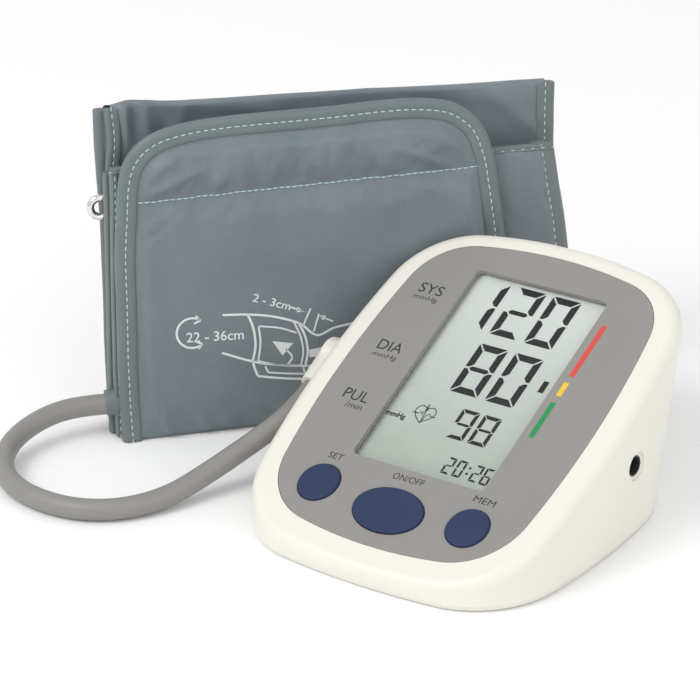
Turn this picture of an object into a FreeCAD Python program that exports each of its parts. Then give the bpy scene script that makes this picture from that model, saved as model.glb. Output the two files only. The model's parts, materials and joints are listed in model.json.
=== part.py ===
import FreeCAD, Part
import math
import os
import re
import Sketcher
from FreeCAD import Placement, Rotation, Vector

# Upper arm blood pressure monitor with its air tube and folded cuff.
#
# Millimetres, +Z up. The origin is on the surface it stands on, under the centre of the
# monitor's housing. The display face tilts towards -Y, and +X points out of the DC inlet.
# The face frame has its origin at the middle of the sloping face, x across, y up the
# slope and z out of it. The cuff frame has x along the cuff's width, y towards its back
# and z up its leaning height.

SIZES = {
    # monitor housing
    "face_tilt": 26.4, "face_middle_y": 10.5, "face_middle_z": 41.7,
    "face_half": 57.0, "face_low": 78.0, "face_high": 63.0, "face_crown": 8.5,
    "face_side_crown": 6.2, "face_corner_low": 32.0, "face_corner_high": 29.0,
    "foot_half": 56.5, "foot_low": 58.5, "foot_high": 47.5, "foot_crown": 5.5,
    "foot_side_crown": 5.0, "foot_corner": 30.0, "foot_inset": 2.2,
    "wall": 2.4, "face_wall": 3.4, "base_thick": 2.4, "ridge_round": 4.0,
    "heel_y": 35.15, "heel_round": 15.0, "heel_lean": 16.4,
    # face panel, display and buttons
    "panel_half": 48.3, "panel_low": 69.0, "panel_high": 51.0, "panel_crown": 6.3,
    "panel_side_crown": 4.9, "panel_corner_low": 24.0, "panel_corner_high": 21.0,
    "panel_thick": 1.6, "panel_gap": 0.15, "recess_depth": 1.7,
    "window_wide": 50.0, "window_tall": 78.75, "window_x": 0.6,
    "lens_wide": 55.4, "lens_tall": 84.4, "lens_thick": 1.0,
    "glass_wide": 53.0, "glass_tall": 82.0, "glass_thick": 2.0, "glass_top": 2.8,
    "board_top": 6.8, "board_thick": 1.2, "board_wide": 84.0, "board_low": 62.0,
    "board_high": 42.0, "frame_wide": 61.0, "frame_tall": 90.0,
    "button_radius": 7.1, "button_x": 28.3, "button_y": 52.95, "button_gap": 0.25,
    "power_long": 12.6, "power_short": 8.4, "power_y": 55.35,
    "button_proud": 0.7, "flange_width": 1.5, "flange_top": 1.9, "flange_thick": 1.0,
    "stem_radius": 2.0, "stem_end": 3.4, "plunger_radius": 1.75, "switch_side": 6.0,
    "switch_top": 4.0, "switch_bore_depth": 1.6, "plunger_end": 4.6,
    # underside
    "foot_radius": 4.5, "foot_thick": 1.2, "foot_x": 40.0, "foot_front_y": 44.0,
    "foot_back_y": 27.0, "screw_x": 46.5, "screw_front_y": 36.0, "screw_back_y": 33.0,
    "screw_radius": 1.2, "screw_length": 9.0, "screw_head": 2.5, "screw_head_thick": 1.2,
    "boss_radius": 3.5, "cell_radius": 7.1, "cell_length": 49.2, "cell_pitch": 14.8,
    "cell_z": 9.65, "cell_back_y": 34.5, "nub_radius": 2.75, "nub_length": 1.1,
    "well_half": 27.4, "well_front": 17.2, "well_top": 17.0, "well_wall": 1.2,
    "cover_gap": 0.2, "cover_top": 12.0,
    # pump and valve
    "pump_y": 35.5, "pump_z": 30.5, "pump_radius": 11.2, "can_length": 28.0,
    "can_wall": 1.2, "can_x": 2.0, "head_length": 23.8, "shaft_radius": 1.0,
    "shaft_play": 0.05, "rotor_radius": 7.6, "rotor_length": 18.0, "magnet_thick": 1.3,
    "nipple_radius": 2.0, "hose_radius": 3.0, "hose_bore": 2.05,
    "valve_bore": 2.5, "plunger_play": 0.05, "valve_length": 15.0,
    # sockets in the side walls
    "socket_y": 16.5, "socket_z": 30.5, "socket_bore": 3.1, "socket_radius": 5.5,
    "socket_depth": 12.0, "jack_y": 13.5, "jack_z": 24.2, "jack_bore": 2.85,
    "jack_depth": 5.0, "jack_wide": 9.0, "jack_tall": 10.4, "jack_deep": 14.0,
    "jack_mouth": 55.4, "dish_radius": 4.6,
    # air tube and plug
    "tube_radius": 3.5, "plug_play": 0.1, "plug_nose": 11.0, "plug_x": 62.2,
    "plug_head": 6.4, "plug_arm": 4.6,
    # cuff
    "cuff_x": -120.5, "cuff_y": -21.6, "cuff_turn": 46.0, "cuff_lean": 4.0,
    "cloth_front": 2.6, "cloth_middle": 7.0, "cloth_back": 4.0, "binding_wide": 6.0,
    "binding_thick": 0.4, "ring_wire": 1.25, "ring_length": 153.5, "ring_height": 9.0,
    "ring_t": 78.4, "ring_depth": 14.0, "port_radius": 2.8, "port_length": 11.0,
    "port_t": 12.3, "bladder_thick": 3.0, "patch_thick": 0.7,
}

# The air tube's route, from the cuff's port to the plug: straight runs whose corners
# are rounded by tangent arcs.
TUBE_ROUTE = [
    (-130.2, -20.2, 11.5), (-138.7, -26.2, 11.0), (-145.1, -35.7, 9.5),
    (-147.3, -47.6, 7.0), (-143.4, -58.9, 5.0), (-133.8, -67.8, 3.9),
    (-118.5, -72.6, 3.7), (-101.0, -71.6, 3.7), (-87.8, -63.6, 3.7),
    (-79.8, -50.0, 4.2), (-75.4, -35.0, 7.5), (-68.8, -20.0, 13.5),
    (-62.2, -6.6, 20.1), (-62.2, 4.5, 24.8),
]

doc = FreeCAD.newDocument("BloodPressureMonitor")
sheet = doc.addObject("Spreadsheet::Sheet", "Sizes")
for row, (alias, value) in enumerate(SIZES.items(), 1):
    sheet.set("A%d" % row, alias.replace("_", " "))
    sheet.set("B%d" % row, str(value))
    sheet.setAlias("B%d" % row, alias)
doc.recompute()

PARTS = []          # every sub-part, in the order it is written
X_AXIS, Y_AXIS, Z_AXIS = Vector(1, 0, 0), Vector(0, 1, 0), Vector(0, 0, 1)


def size(alias):
    """A driving dimension, read back from the sheet."""
    return float(sheet.get(alias))


def linked(text):
    """An expression with each driving dimension's name pointed at the sheet."""
    return re.sub(r"[a-z_]+", lambda m: "Sizes." + m.group() if m.group() in SIZES
                  else m.group(), text)


def bind(thing, **sizes):
    for name, text in sizes.items():
        thing.setExpression(name, linked(text))
    return thing


def keep(thing, label):
    """Marks an object as a sub-part of its own."""
    thing.Label = label
    PARTS.append(thing)
    return thing


def at(x=0.0, y=0.0, z=0.0, axis=None):
    """A placement at a point, its local Z turned along an axis."""
    turn = Rotation(Z_AXIS, axis) if axis else Rotation()
    return Placement(Vector(x, y, z), turn)


FACE = Placement(Vector(0, size("face_middle_y"), size("face_middle_z")),
                 Rotation(X_AXIS, size("face_tilt")))
CUFF = Placement(Vector(size("cuff_x"), size("cuff_y"), 0),
                 Rotation(Z_AXIS, size("cuff_turn")).multiply(
                     Rotation(X_AXIS, -size("cuff_lean"))))


def box(name, length, width, height, place):
    return place_it(bind(doc.addObject("Part::Box", name), Length=length, Width=width,
                         Height=height), place)


def centred_box(name, length, width, height, place):
    """A box centred on its placement across and along, rising from it."""
    thing = box(name, length, width, height, place)
    shift = Vector(-0.5 * value_of(length), -0.5 * value_of(width), 0)
    thing.Placement = place.multiply(Placement(shift, Rotation()))
    return thing


def value_of(text):
    """The number that an expression of driving dimensions stands for."""
    probe = doc.addObject("Part::Box", "Probe")
    probe.setExpression("Length", linked("1000 + " + text))
    doc.recompute()
    number = probe.Length.Value - 1000
    doc.removeObject(probe.Name)
    return number


def cylinder(name, radius, height, place):
    return place_it(bind(doc.addObject("Part::Cylinder", name), Radius=radius,
                         Height=height), place)


def place_it(thing, place):
    thing.Placement = place
    return thing


def cut(name, base, tool):
    thing = doc.addObject("Part::Cut", name)
    thing.Base, thing.Tool = base, tool
    return thing


def fuse(name, shapes):
    thing = doc.addObject("Part::MultiFuse", name)
    thing.Shapes = shapes
    thing.Refine = True
    return thing


def feature(name, shape, place=None):
    thing = doc.addObject("Part::Feature", name)
    thing.Shape = shape
    if place:
        thing.Placement = place
    return thing


# ---- PartDesign helpers ------------------------------------------------------------

def new_body(label):
    return doc.addObject("PartDesign::Body", label + "_body")


def sketch_in(body, name, plane="XY_Plane", offset=None):
    """An empty sketch on one of the body's own origin planes."""
    sketch = body.newObject("Sketcher::SketchObject", name)
    origin_plane = [f for f in body.Origin.OriginFeatures if f.Role == plane][0]
    sketch.AttachmentSupport = (origin_plane, [""])
    sketch.MapMode = "FlatFace"
    if offset:
        sketch.AttachmentOffset = Placement(offset, Rotation())
    return sketch


def drive(sketch, constraint, text):
    """Adds a dimension to a sketch and binds it to the sheet."""
    index = sketch.addConstraint(Sketcher.Constraint(*constraint, value_of(text)))
    sketch.setExpression("Constraints[%d]" % index, linked(text))


def sketch_circle(sketch, radius, x="0", y="0"):
    number = sketch.addGeometry(Part.Circle(Vector(value_of(x), value_of(y), 0), Z_AXIS,
                                            value_of(radius)), False)
    drive(sketch, ("Radius", number), radius)
    drive(sketch, ("DistanceX", -1, 1, number, 3), x)
    drive(sketch, ("DistanceY", -1, 1, number, 3), y)


def sketch_rectangle(sketch, left, low, wide, tall):
    """A rectangle given by its low left corner and its size."""
    x, y, w, h = value_of(left), value_of(low), value_of(wide), value_of(tall)
    corners = [Vector(x, y, 0), Vector(x + w, y, 0), Vector(x + w, y + h, 0),
               Vector(x, y + h, 0)]
    sides = sketch.addGeometry([Part.LineSegment(corners[i], corners[(i + 1) % 4])
                                for i in range(4)], False)
    for i in range(4):
        sketch.addConstraint(Sketcher.Constraint("Coincident", sides[i], 2,
                                                 sides[(i + 1) % 4], 1))
    for side, level in zip(sides, ("Horizontal", "Vertical", "Horizontal", "Vertical")):
        sketch.addConstraint(Sketcher.Constraint(level, side))
    drive(sketch, ("DistanceX", sides[0], 1, sides[0], 2), wide)
    drive(sketch, ("DistanceY", sides[1], 1, sides[1], 2), tall)
    drive(sketch, ("DistanceX", -1, 1, sides[0], 1), left)
    drive(sketch, ("DistanceY", -1, 1, sides[0], 1), low)


def pad(body, sketch, length, downward=False):
    thing = body.newObject("PartDesign::Pad", sketch.Name + "_pad")
    thing.Profile = sketch
    thing.Reversed = downward
    bind(thing, Length=length)
    body.Tip = thing
    doc.recompute()
    return thing


def pocket_through(body, sketch):
    """Cuts a sketch right through the body, both ways from its plane."""
    before = body.Shape.Volume
    thing = body.newObject("PartDesign::Pocket", sketch.Name + "_pocket")
    thing.Profile = sketch
    thing.Type = "ThroughAll"
    thing.Midplane = True
    body.Tip = thing
    doc.recompute()
    assert body.Shape.Volume < before, "pocket %s cuts nothing" % sketch.Name
    return thing


def revolve(label, points, place):
    """A turned piece: (radius, height) points, the first and last on its own axis."""
    body = new_body(label)
    sketch = sketch_in(body, label + "_outline", "XZ_Plane")
    corners = [Vector(r, z, 0) for r, z in points]
    for a, b in zip(corners, corners[1:] + corners[:1]):
        sketch.addGeometry(Part.LineSegment(a, b), False)
    turned = body.newObject("PartDesign::Revolution", label + "_turned")
    turned.Profile = sketch
    turned.ReferenceAxis = (sketch, ["V_Axis"])
    turned.Angle = 360
    body.Tip = turned
    body.Placement = place
    doc.recompute()
    return body


# ---- outlines with crowned sides ---------------------------------------------------

def crowned(half, low, high, side_crown, end_crown, corner_low, corner_high, thick):
    """A plate with four bowed sides and rounded corners, from z = 0 up."""
    x, top, bottom = half - side_crown, high - end_crown, -low + end_crown
    middle = 0.5 * (top + bottom)
    ring = [((-x, bottom), (0, -low), (x, bottom)), ((x, bottom), (half, middle), (x, top)),
            ((x, top), (0, high), (-x, top)), ((-x, top), (-half, middle), (-x, bottom))]
    arcs = [Part.Arc(*[Vector(px, py, 0) for px, py in arc]).toShape() for arc in ring]
    plate = Part.Face(Part.Wire(arcs)).extrude(Vector(0, 0, thick))

    def upright(edge, above):
        ends = [v.Point for v in edge.Vertexes]
        return (len(ends) == 2 and abs(ends[0].z - ends[1].z) > 0.9 * thick
                and (ends[0].y > middle) == above)

    plate = plate.makeFillet(corner_low, [e for e in plate.Edges if upright(e, False)])
    return plate.makeFillet(corner_high, [e for e in plate.Edges if upright(e, True)])


def outline(plate, place):
    """The wire round a crowned plate's z = 0 face, moved to a placement."""
    face = min(plate.Faces, key=lambda f: f.CenterOfMass.z)
    wire = face.OuterWire.copy()
    wire.Placement = place.multiply(wire.Placement)
    return wire


def face_outline(inset, depth):
    plate = crowned(size("face_half") - inset, size("face_low") - inset,
                    size("face_high") - inset, size("face_side_crown"),
                    size("face_crown"), size("face_corner_low") - inset,
                    size("face_corner_high") - inset, 1.0)
    return outline(plate, FACE.multiply(at(z=-depth)))


def foot_outline(inset, height):
    plate = crowned(size("foot_half") - inset, size("foot_low") - inset,
                    size("foot_high") - inset, size("foot_side_crown"),
                    size("foot_crown"), size("foot_corner") - inset,
                    size("foot_corner") - inset, 1.0)
    return outline(plate, at(z=height))


def heel_prism(inset):
    """The side profile that rounds the housing's rear bottom edge."""
    radius, lean = size("heel_round") - inset, math.radians(size("heel_lean"))
    centre = Vector(0, size("heel_y"), size("heel_round"))
    low, far = size("heel_round") - radius, 120.0
    tangent = centre + Vector(0, radius * math.cos(lean), -radius * math.sin(lean))
    between = centre + Vector(0, radius * math.sin(0.5 * (math.pi / 2 - lean)),
                              -radius * math.cos(0.5 * (math.pi / 2 - lean)))
    crest = tangent + Vector(0, math.sin(lean), math.cos(lean)) * far
    start = Vector(0, centre.y, low)
    front_low, front_high = Vector(0, -far, low), Vector(0, -far, crest.z)
    wire = Part.Wire([
        Part.LineSegment(front_low, start).toShape(),
        Part.Arc(start, between, tangent).toShape(),
        Part.LineSegment(tangent, crest).toShape(),
        Part.LineSegment(crest, front_high).toShape(),
        Part.LineSegment(front_high, front_low).toShape()])
    prism = Part.Face(wire).extrude(Vector(2 * far, 0, 0))
    prism.translate(Vector(-far, 0, 0))
    return prism


# ---- monitor housing ---------------------------------------------------------------

def upper_solid(inset, face_depth, start):
    """The closed form of the housing above a height, inset from its outside."""
    form = Part.makeLoft([foot_outline(inset, start), face_outline(inset, face_depth)],
                         True, True)
    return form.common(heel_prism(inset))


def lower_solid():
    """The closed form of the base plate, its bottom edge rounded."""
    inset, height = size("foot_inset"), size("base_thick")
    wires = [foot_outline(inset, 0), foot_outline(0.3 * inset, 0.3 * height),
             foot_outline(0, height)]
    return Part.makeLoft(wires, True, True).common(heel_prism(0))


def ridge_rounded(form):
    """Rounds the edge all round the sloping face."""
    normal = FACE.Rotation.multVec(Z_AXIS)
    face = max(form.Faces, key=lambda f: f.CenterOfMass.dot(normal))
    return form.makeFillet(size("ridge_round"), face.OuterWire.Edges)


def face_prism(shape_at_zero, depth_from, depth_to):
    """A face-frame shape stretched between two depths below the face."""
    prism = shape_at_zero.extrude(Vector(0, 0, depth_to - depth_from))
    prism.Placement = FACE.multiply(at(z=-depth_to))
    return prism


def flat_rectangle(wide, tall, x):
    return Part.makePlane(wide, tall, Vector(x - wide / 2, -tall / 2, 0))


def flat_circle(radius, x=0.0, y=0.0):
    return Part.Face(Part.Wire(Part.makeCircle(radius, Vector(x, y, 0))))


def flat_ellipse(long_radius, short_radius, y=0.0):
    ellipse = Part.Ellipse(Vector(0, y, 0), long_radius, short_radius)
    return Part.Face(Part.Wire(ellipse.toShape()))


BUTTON_SPOTS = {"set": (-size("button_x"), -size("button_y")),
                "power": (0.0, -size("power_y")),
                "memory": (size("button_x"), -size("button_y"))}


def button_outline(name, extra):
    """A button's outline in the face frame, wider by a margin."""
    x, y = BUTTON_SPOTS[name]
    if name == "power":
        return flat_ellipse(size("power_long") + extra, size("power_short") + extra, y)
    return flat_circle(size("button_radius") + extra, x, y)


def panel_plate(inset, thick):
    return crowned(size("panel_half") - inset, size("panel_low") - inset,
                   size("panel_high") - inset, size("panel_side_crown"),
                   size("panel_crown"), size("panel_corner_low"),
                   size("panel_corner_high"), thick)


def screw_spots():
    x, front, back = size("screw_x"), -size("screw_front_y"), size("screw_back_y")
    return [(-x, front), (x, front), (-x, back), (x, back)]


def foot_spots():
    x, front, back = size("foot_x"), -size("foot_front_y"), size("foot_back_y")
    return [(-x, front), (x, front), (-x, back), (x, back)]


def discs(spots, radius, low, high):
    return Part.makeCompound([Part.makeCylinder(radius, high - low, Vector(x, y, low))
                              for x, y in spots])


def cover_box(gap):
    """The block that the battery cover fills, with a gap on each side."""
    half, front, tall = size("well_half") - 0.4, size("well_front") - 0.4, size("cover_top")
    return Part.makeBox(2 * (half + gap), 80, tall + gap + 1,
                        Vector(-half - gap, -front - gap, -1))


def rail_box(gap, length):
    """The two rails along the battery cover's sides, as one block."""
    half = size("well_half") + 0.4 + gap
    return Part.makeBox(2 * half, length, 0.8 + 2 * gap,
                        Vector(-half, -size("well_front") + 2 - gap, 1.0 - gap))


def side_cylinder(radius, x_from, x_to, y, z):
    return Part.makeCylinder(radius, x_to - x_from, Vector(x_from, y, z), X_AXIS)


def make_housing():
    wall, floor = size("wall"), size("base_thick")
    outer = ridge_rounded(upper_solid(0, 0, floor))
    inner = upper_solid(wall, size("face_wall"), floor)
    # upper shell: hollow, with screw bosses that reach down from it
    shell = outer.cut(inner)
    bosses = discs(screw_spots(), size("boss_radius"), floor, 80).common(outer)
    shell = shell.fuse(bosses)
    shell = shell.cut(discs(screw_spots(), size("screw_radius") + 0.05, floor,
                            floor + size("screw_length")))
    recess = panel_plate(-size("panel_gap"), size("recess_depth") + 1)
    recess.Placement = FACE.multiply(at(z=-size("recess_depth")))
    shell = shell.cut(recess)
    deep = size("face_wall") + 2
    window = flat_rectangle(size("lens_wide") + 0.6, size("lens_tall") + 0.6,
                            size("window_x"))
    shell = shell.cut(face_prism(window, 0, deep))
    for name in BUTTON_SPOTS:
        shell = shell.cut(face_prism(button_outline(name, size("flange_width") + 0.4),
                                     0, deep))
    socket_hole = side_cylinder(size("socket_radius") + 0.05, -70, -40, size("socket_y"),
                                size("socket_z"))
    jack_hole = side_cylinder(size("jack_bore") + 0.6, 40, 70, size("jack_y"),
                              size("jack_z"))
    jack_dish = side_cylinder(size("dish_radius"), size("jack_mouth") + 0.1, 70,
                              size("jack_y"), size("jack_z"))
    shell = shell.cut([socket_hole, jack_hole, jack_dish, cover_box(size("cover_gap"))])
    keep(feature("UpperHousing", shell), "upper_housing")

    # base plate: locating lip, battery well, rubber foot and screw head recesses
    plate = lower_solid()
    lip = upper_solid(wall + 0.15, size("face_wall"), floor).cut(
        upper_solid(wall + 1.35, size("face_wall"), floor))
    lip = lip.common(Part.makeBox(300, 300, 2.5, Vector(-150, -150, floor)))
    lip = lip.cut(discs(screw_spots(), size("boss_radius") + 0.3, floor, floor + 5))
    half, front = size("well_half"), size("well_front")
    side, roof = size("well_wall"), size("well_top")
    well = Part.makeBox(2 * (half + side), 90, roof + side - floor,
                        Vector(-half - side, -front - side, floor))
    well = well.common(upper_solid(wall + 0.15, size("face_wall"), floor))
    base = plate.fuse([lip, well])
    cavity = Part.makeBox(2 * half, 90, roof - floor, Vector(-half, -front, floor))
    base = base.cut([cavity, cover_box(size("cover_gap")), rail_box(0.1, 100)])
    base = base.cut(discs(foot_spots(), size("foot_radius"), -1, size("foot_thick")))
    base = base.cut(discs(screw_spots(), size("screw_radius") + 0.15, -1, floor + 1))
    base = base.cut(discs(screw_spots(), size("screw_head") + 0.1, -1,
                          size("screw_head_thick")))
    keep(feature("LowerHousing", base), "lower_housing")

    # battery cover: base plate and rear wall in one curved piece, with side rails
    whole = lower_solid().fuse(outer)
    cover = whole.common(cover_box(0)).cut(inner)
    cover = cover.fuse(plate.common(rail_box(0, size("heel_y"))))
    grip = [Part.makeCylinder(0.6, 24, Vector(-12, 6 + 3 * i, -0.2), X_AXIS)
            for i in range(5)]
    keep(feature("BatteryCover", cover.cut(grip)), "battery_cover")


def make_feet_and_screws():
    body = new_body("rubber_feet")
    sketch = sketch_in(body, "feet_sketch")
    for x in ("-foot_x", "foot_x"):
        for y in ("-foot_front_y", "foot_back_y"):
            sketch_circle(sketch, "foot_radius", x, y)
    pad(body, sketch, "foot_thick")
    keep(body, "rubber_feet")
    screws = []
    for i, (x, y) in enumerate(screw_spots()):
        head = cylinder("ScrewHead%d" % i, "screw_head", "screw_head_thick", at(x, y, 0))
        shank = cylinder("ScrewShank%d" % i, "screw_radius", "screw_length", at(x, y, 0.6))
        slot = [box("ScrewSlot%d%d" % (i, k), "3.2", "0.7", "0.6",
                    Placement(Vector(x, y, 0), Rotation(Z_AXIS, 90 * k)).multiply(
                        at(-1.6, -0.35, -0.1))) for k in range(2)]
        whole = fuse("Screw%d" % i, [head, shank])
        screws.append(cut("ScrewCut%d" % i, whole, fuse("Cross%d" % i, slot)))
    compound = doc.addObject("Part::Compound", "HousingScrews")
    compound.Links = screws
    keep(compound, "housing_screws")


# ---- face panel, display and buttons -----------------------------------------------

def make_face():
    panel = panel_plate(0, size("panel_thick"))
    holes = [flat_rectangle(size("window_wide"), size("window_tall"), size("window_x"))]
    holes += [button_outline(name, size("button_gap")) for name in BUTTON_SPOTS]
    for number, hole in enumerate(holes):
        block = hole.extrude(Vector(0, 0, size("panel_thick") + 2))
        block.translate(Vector(0, 0, -1))
        if number == 0:
            block = block.makeFillet(2.0, [e for e in block.Edges if abs(
                e.Vertexes[0].Point.z - e.Vertexes[1].Point.z) > 1])
        panel = panel.cut(block)
    keep(feature("FacePanel", panel, FACE.multiply(at(z=-size("recess_depth")))),
         "face_panel")

    slabs = [("display_window", "lens_wide", "lens_tall", "lens_thick",
              -size("recess_depth")),
             ("display_glass", "glass_wide", "glass_tall", "glass_thick",
              -size("glass_top"))]
    for label, wide, tall, thick, top in slabs:
        body = new_body(label)
        sketch = sketch_in(body, label + "_sketch")
        sketch_rectangle(sketch, "window_x - 0.5 * " + wide, "-0.5 * " + tall, wide, tall)
        pad(body, sketch, thick, downward=True)
        body.Placement = FACE.multiply(at(z=top))
        keep(body, label)

    body = new_body("display_frame")
    sketch = sketch_in(body, "frame_sketch")
    sketch_rectangle(sketch, "window_x - 0.5 * frame_wide", "-0.5 * frame_tall",
                     "frame_wide", "frame_tall")
    pad(body, sketch, "board_top - face_wall - 0.05")
    opening = sketch_in(body, "frame_opening")
    sketch_rectangle(opening, "window_x - 0.5 * glass_wide - 0.3",
                     "-0.5 * glass_tall - 0.3", "glass_wide + 0.6", "glass_tall + 0.6")
    pocket_through(body, opening)
    body.Placement = FACE.multiply(at(z=-size("board_top")))
    keep(body, "display_frame")

    strips = []
    for name, y in (("Low", -38.4), ("High", 36.0)):
        strips.append(box("Zebra" + name, "46", "2.4", "board_top - glass_top - glass_thick",
                          FACE.multiply(at(size("window_x") - 23, y, -size("board_top")))))
    compound = doc.addObject("Part::Compound", "Zebras")
    compound.Links = strips
    keep(compound, "zebra_connectors")


def make_board():
    body = new_body("main_board")
    sketch = sketch_in(body, "board_sketch")
    sketch_rectangle(sketch, "-0.5 * board_wide", "-board_low", "board_wide",
                     "board_low + board_high")
    pad(body, sketch, "board_thick", downward=True)
    corners = sketch_in(body, "board_corners")
    for x in ("-0.5 * board_wide", "0.5 * board_wide - 12"):
        sketch_rectangle(corners, x, "-board_low", "12", "5")
    pocket_through(body, corners)
    body.Placement = FACE.multiply(at(z=-size("board_top")))
    keep(body, "main_board")
    under = -size("board_top") - size("board_thick")
    chips = [(-8, -8, 14, 14, 1.6), (-32, -20, 8, 6, 1.6), (26, -22, 6, 10, 1.8),
             (-34, 8, 5, 9, 2.2)]
    links = [centred_box("Chip%d" % i, str(w), str(d), str(t),
                         FACE.multiply(at(x, y, under - t)))
             for i, (x, y, w, d, t) in enumerate(chips)]
    compound = doc.addObject("Part::Compound", "Chips")
    compound.Links = links
    keep(compound, "board_chips")
    buzzer = revolve("buzzer", [(0, 0), (5.8, 0), (5.8, -5.2), (1.0, -5.2), (1.0, -4.2),
                                (0, -4.2)], FACE.multiply(at(20, 0, under)))
    keep(buzzer, "buzzer")


def make_button(name):
    """A cap with its flange and stem, its switch below, and the switch's plunger."""
    x, y = BUTTON_SPOTS[name]
    here = FACE.multiply(at(x, y, 0))
    top, low = size("button_proud"), -size("flange_top")
    floor = low - size("flange_thick")
    if name == "power":
        cap = flat_ellipse(size("power_long"), size("power_short")).extrude(
            Vector(0, 0, top - floor))
        cap.translate(Vector(0, 0, floor))
        rim = [e for e in cap.Edges if e.BoundBox.ZMin > top - 0.01]
        cap = cap.makeFillet(0.6, rim)
        flange = flat_ellipse(size("power_long") + size("flange_width"),
                              size("power_short") + size("flange_width")).extrude(
            Vector(0, 0, low - floor))
        flange.translate(Vector(0, 0, floor))
        stem = Part.makeCylinder(size("stem_radius"), floor + size("stem_end"),
                                 Vector(0, 0, -size("stem_end")))
        button = feature("PowerCap", cap.fuse([flange, stem]), here)
    else:
        r, f, stem = size("button_radius"), size("flange_width"), size("stem_radius")
        outline_points = [(0, -size("stem_end")), (stem, -size("stem_end")), (stem, floor),
                          (r + f, floor), (r + f, low), (r, low), (r, top - 0.6),
                          (r - 0.2, top - 0.2), (r - 0.6, top), (r * 0.5, top + 0.15),
                          (0, top + 0.2)]
        button = revolve(name + "_button", outline_points, here)
    keep(button, name + "_button")

    half = 0.5 * size("switch_side")
    case = box(name + "Case", "switch_side", "switch_side", "board_top - switch_top",
               here.multiply(at(-half, -half, -size("board_top"))))
    bore = cylinder(name + "Bore", "plunger_radius + 0.05", "switch_bore_depth + 0.2",
                    here.multiply(at(z=-size("switch_top") - size("switch_bore_depth"))))
    keep(cut(name + "Switch", case, bore), name + "_switch")
    plunger = cylinder(name + "Plunger", "plunger_radius", "plunger_end - stem_end",
                       here.multiply(at(z=-size("plunger_end"))))
    keep(plunger, name + "_plunger")


# ---- batteries ---------------------------------------------------------------------

def make_cells():
    length, nub = size("cell_length"), size("nub_length")
    r, tip = size("cell_radius"), size("nub_radius")
    start = -0.5 * (length + nub)
    plates, springs = [], []
    for i in range(4):
        y = size("cell_back_y") - i * size("cell_pitch")
        way = 1 if i % 2 == 0 else -1
        place = Placement(Vector(way * start, y, size("cell_z")),
                          Rotation(Z_AXIS, X_AXIS * way))
        points = [(0, 0), (r - 0.5, 0), (r, 0.5), (r, length - 0.7), (r - 0.7, length),
                  (tip, length), (tip, length + nub), (0, length + nub)]
        keep(revolve("cell_%d" % (i + 1), points, place), "battery_cell_%d" % (i + 1))
        # at the cell's nub a plate with a boss, at its flat end a plate with a spring
        wall = size("well_half")
        for end in (1, -1):
            plate = Part.makeBox(0.4, 11, 11, Vector(end * wall - (0.4 if end > 0 else 0),
                                                     y - 5.5, size("cell_z") - 5.5))
            gap_from, gap_to = -start, wall - 0.4
            if end == way:
                boss = side_cylinder(2.4, min(end * gap_from, end * gap_to),
                                     max(end * gap_from, end * gap_to), y, size("cell_z"))
                plate = plate.fuse(boss)
            else:
                coil = spring(3.0, 0.4, gap_to - gap_from - 0.9, 2.5)
                coil.rotate(Vector(0, 0, 0), Y_AXIS, 90)
                coil.translate(Vector(gap_from + 0.45, y, size("cell_z")))
                if end < 0:
                    coil.rotate(Vector(0, y, 0), Z_AXIS, 180)
                springs.append(coil)
            plates.append(plate)
    keep(feature("Contacts", Part.makeCompound(plates)), "battery_contacts")
    keep(feature("ContactSprings", Part.makeCompound(springs)), "battery_springs")


def spring(radius, wire, height, turns):
    """A round-wire compression spring that stands on z = 0."""
    path = Part.makeHelix(height / turns, height, radius)
    section = Part.Wire(Part.makeCircle(wire, Vector(radius, 0, 0), Y_AXIS))
    return Part.Wire(path.Edges).makePipeShell([section], True, True)


# ---- pump, valve and air path ------------------------------------------------------

def make_pump():
    y, z, r = size("pump_y"), size("pump_z"), size("pump_radius")
    left, right = size("can_x"), size("can_x") + size("can_length")
    skin, play = size("can_wall"), size("shaft_play")
    can = side_cylinder(r, left, right, y, z)
    can = can.cut(side_cylinder(r - skin, left + skin, right - skin, y, z))
    can = can.cut(side_cylinder(size("shaft_radius") + play, left - 1, right + 1, y, z))
    keep(feature("PumpMotor", can), "pump_motor")

    magnet = side_cylinder(r - skin - 0.05, left + 5, right - 5, y, z).cut(
        side_cylinder(r - skin - size("magnet_thick"), left + 4, right - 4, y, z))
    magnet = magnet.cut(Part.makeBox(40, 5, 40, Vector(left, y - 2.5, z - 20)))
    keep(feature("MotorMagnets", magnet), "motor_magnets")

    core = side_cylinder(size("rotor_radius"), left + 5, left + 5 + size("rotor_length"),
                         y, z)
    for i in range(3):
        slot = Part.makeBox(30, 1.6, 8, Vector(left, y - 0.8, z + 4.5))
        slot.rotate(Vector(left, y, z), X_AXIS, 120 * i)
        core = core.cut(slot)
    shaft = side_cylinder(size("shaft_radius"), left - 9, right + 3, y, z)
    cam = side_cylinder(3.2, left - 8.5, left - 5, y, z + 1.2)
    keep(feature("PumpRotor", core.fuse([shaft, cam])), "pump_rotor")

    start = left - size("head_length")
    head = side_cylinder(r, start, left, y, z)
    head = head.cut(side_cylinder(5.2, left - 10, left + 1, y, z))
    for groove in (5, 12):
        ring = side_cylinder(r + 1, start + groove, start + groove + 1, y, z).cut(
            side_cylinder(r - 0.5, start + groove - 1, start + groove + 2, y, z))
        head = head.cut(ring)
    outlet = side_cylinder(size("nipple_radius"), start - 5, start, y, z)
    keep(feature("PumpHead", head.fuse(outlet)), "pump_head")
    return start - 5


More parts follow.
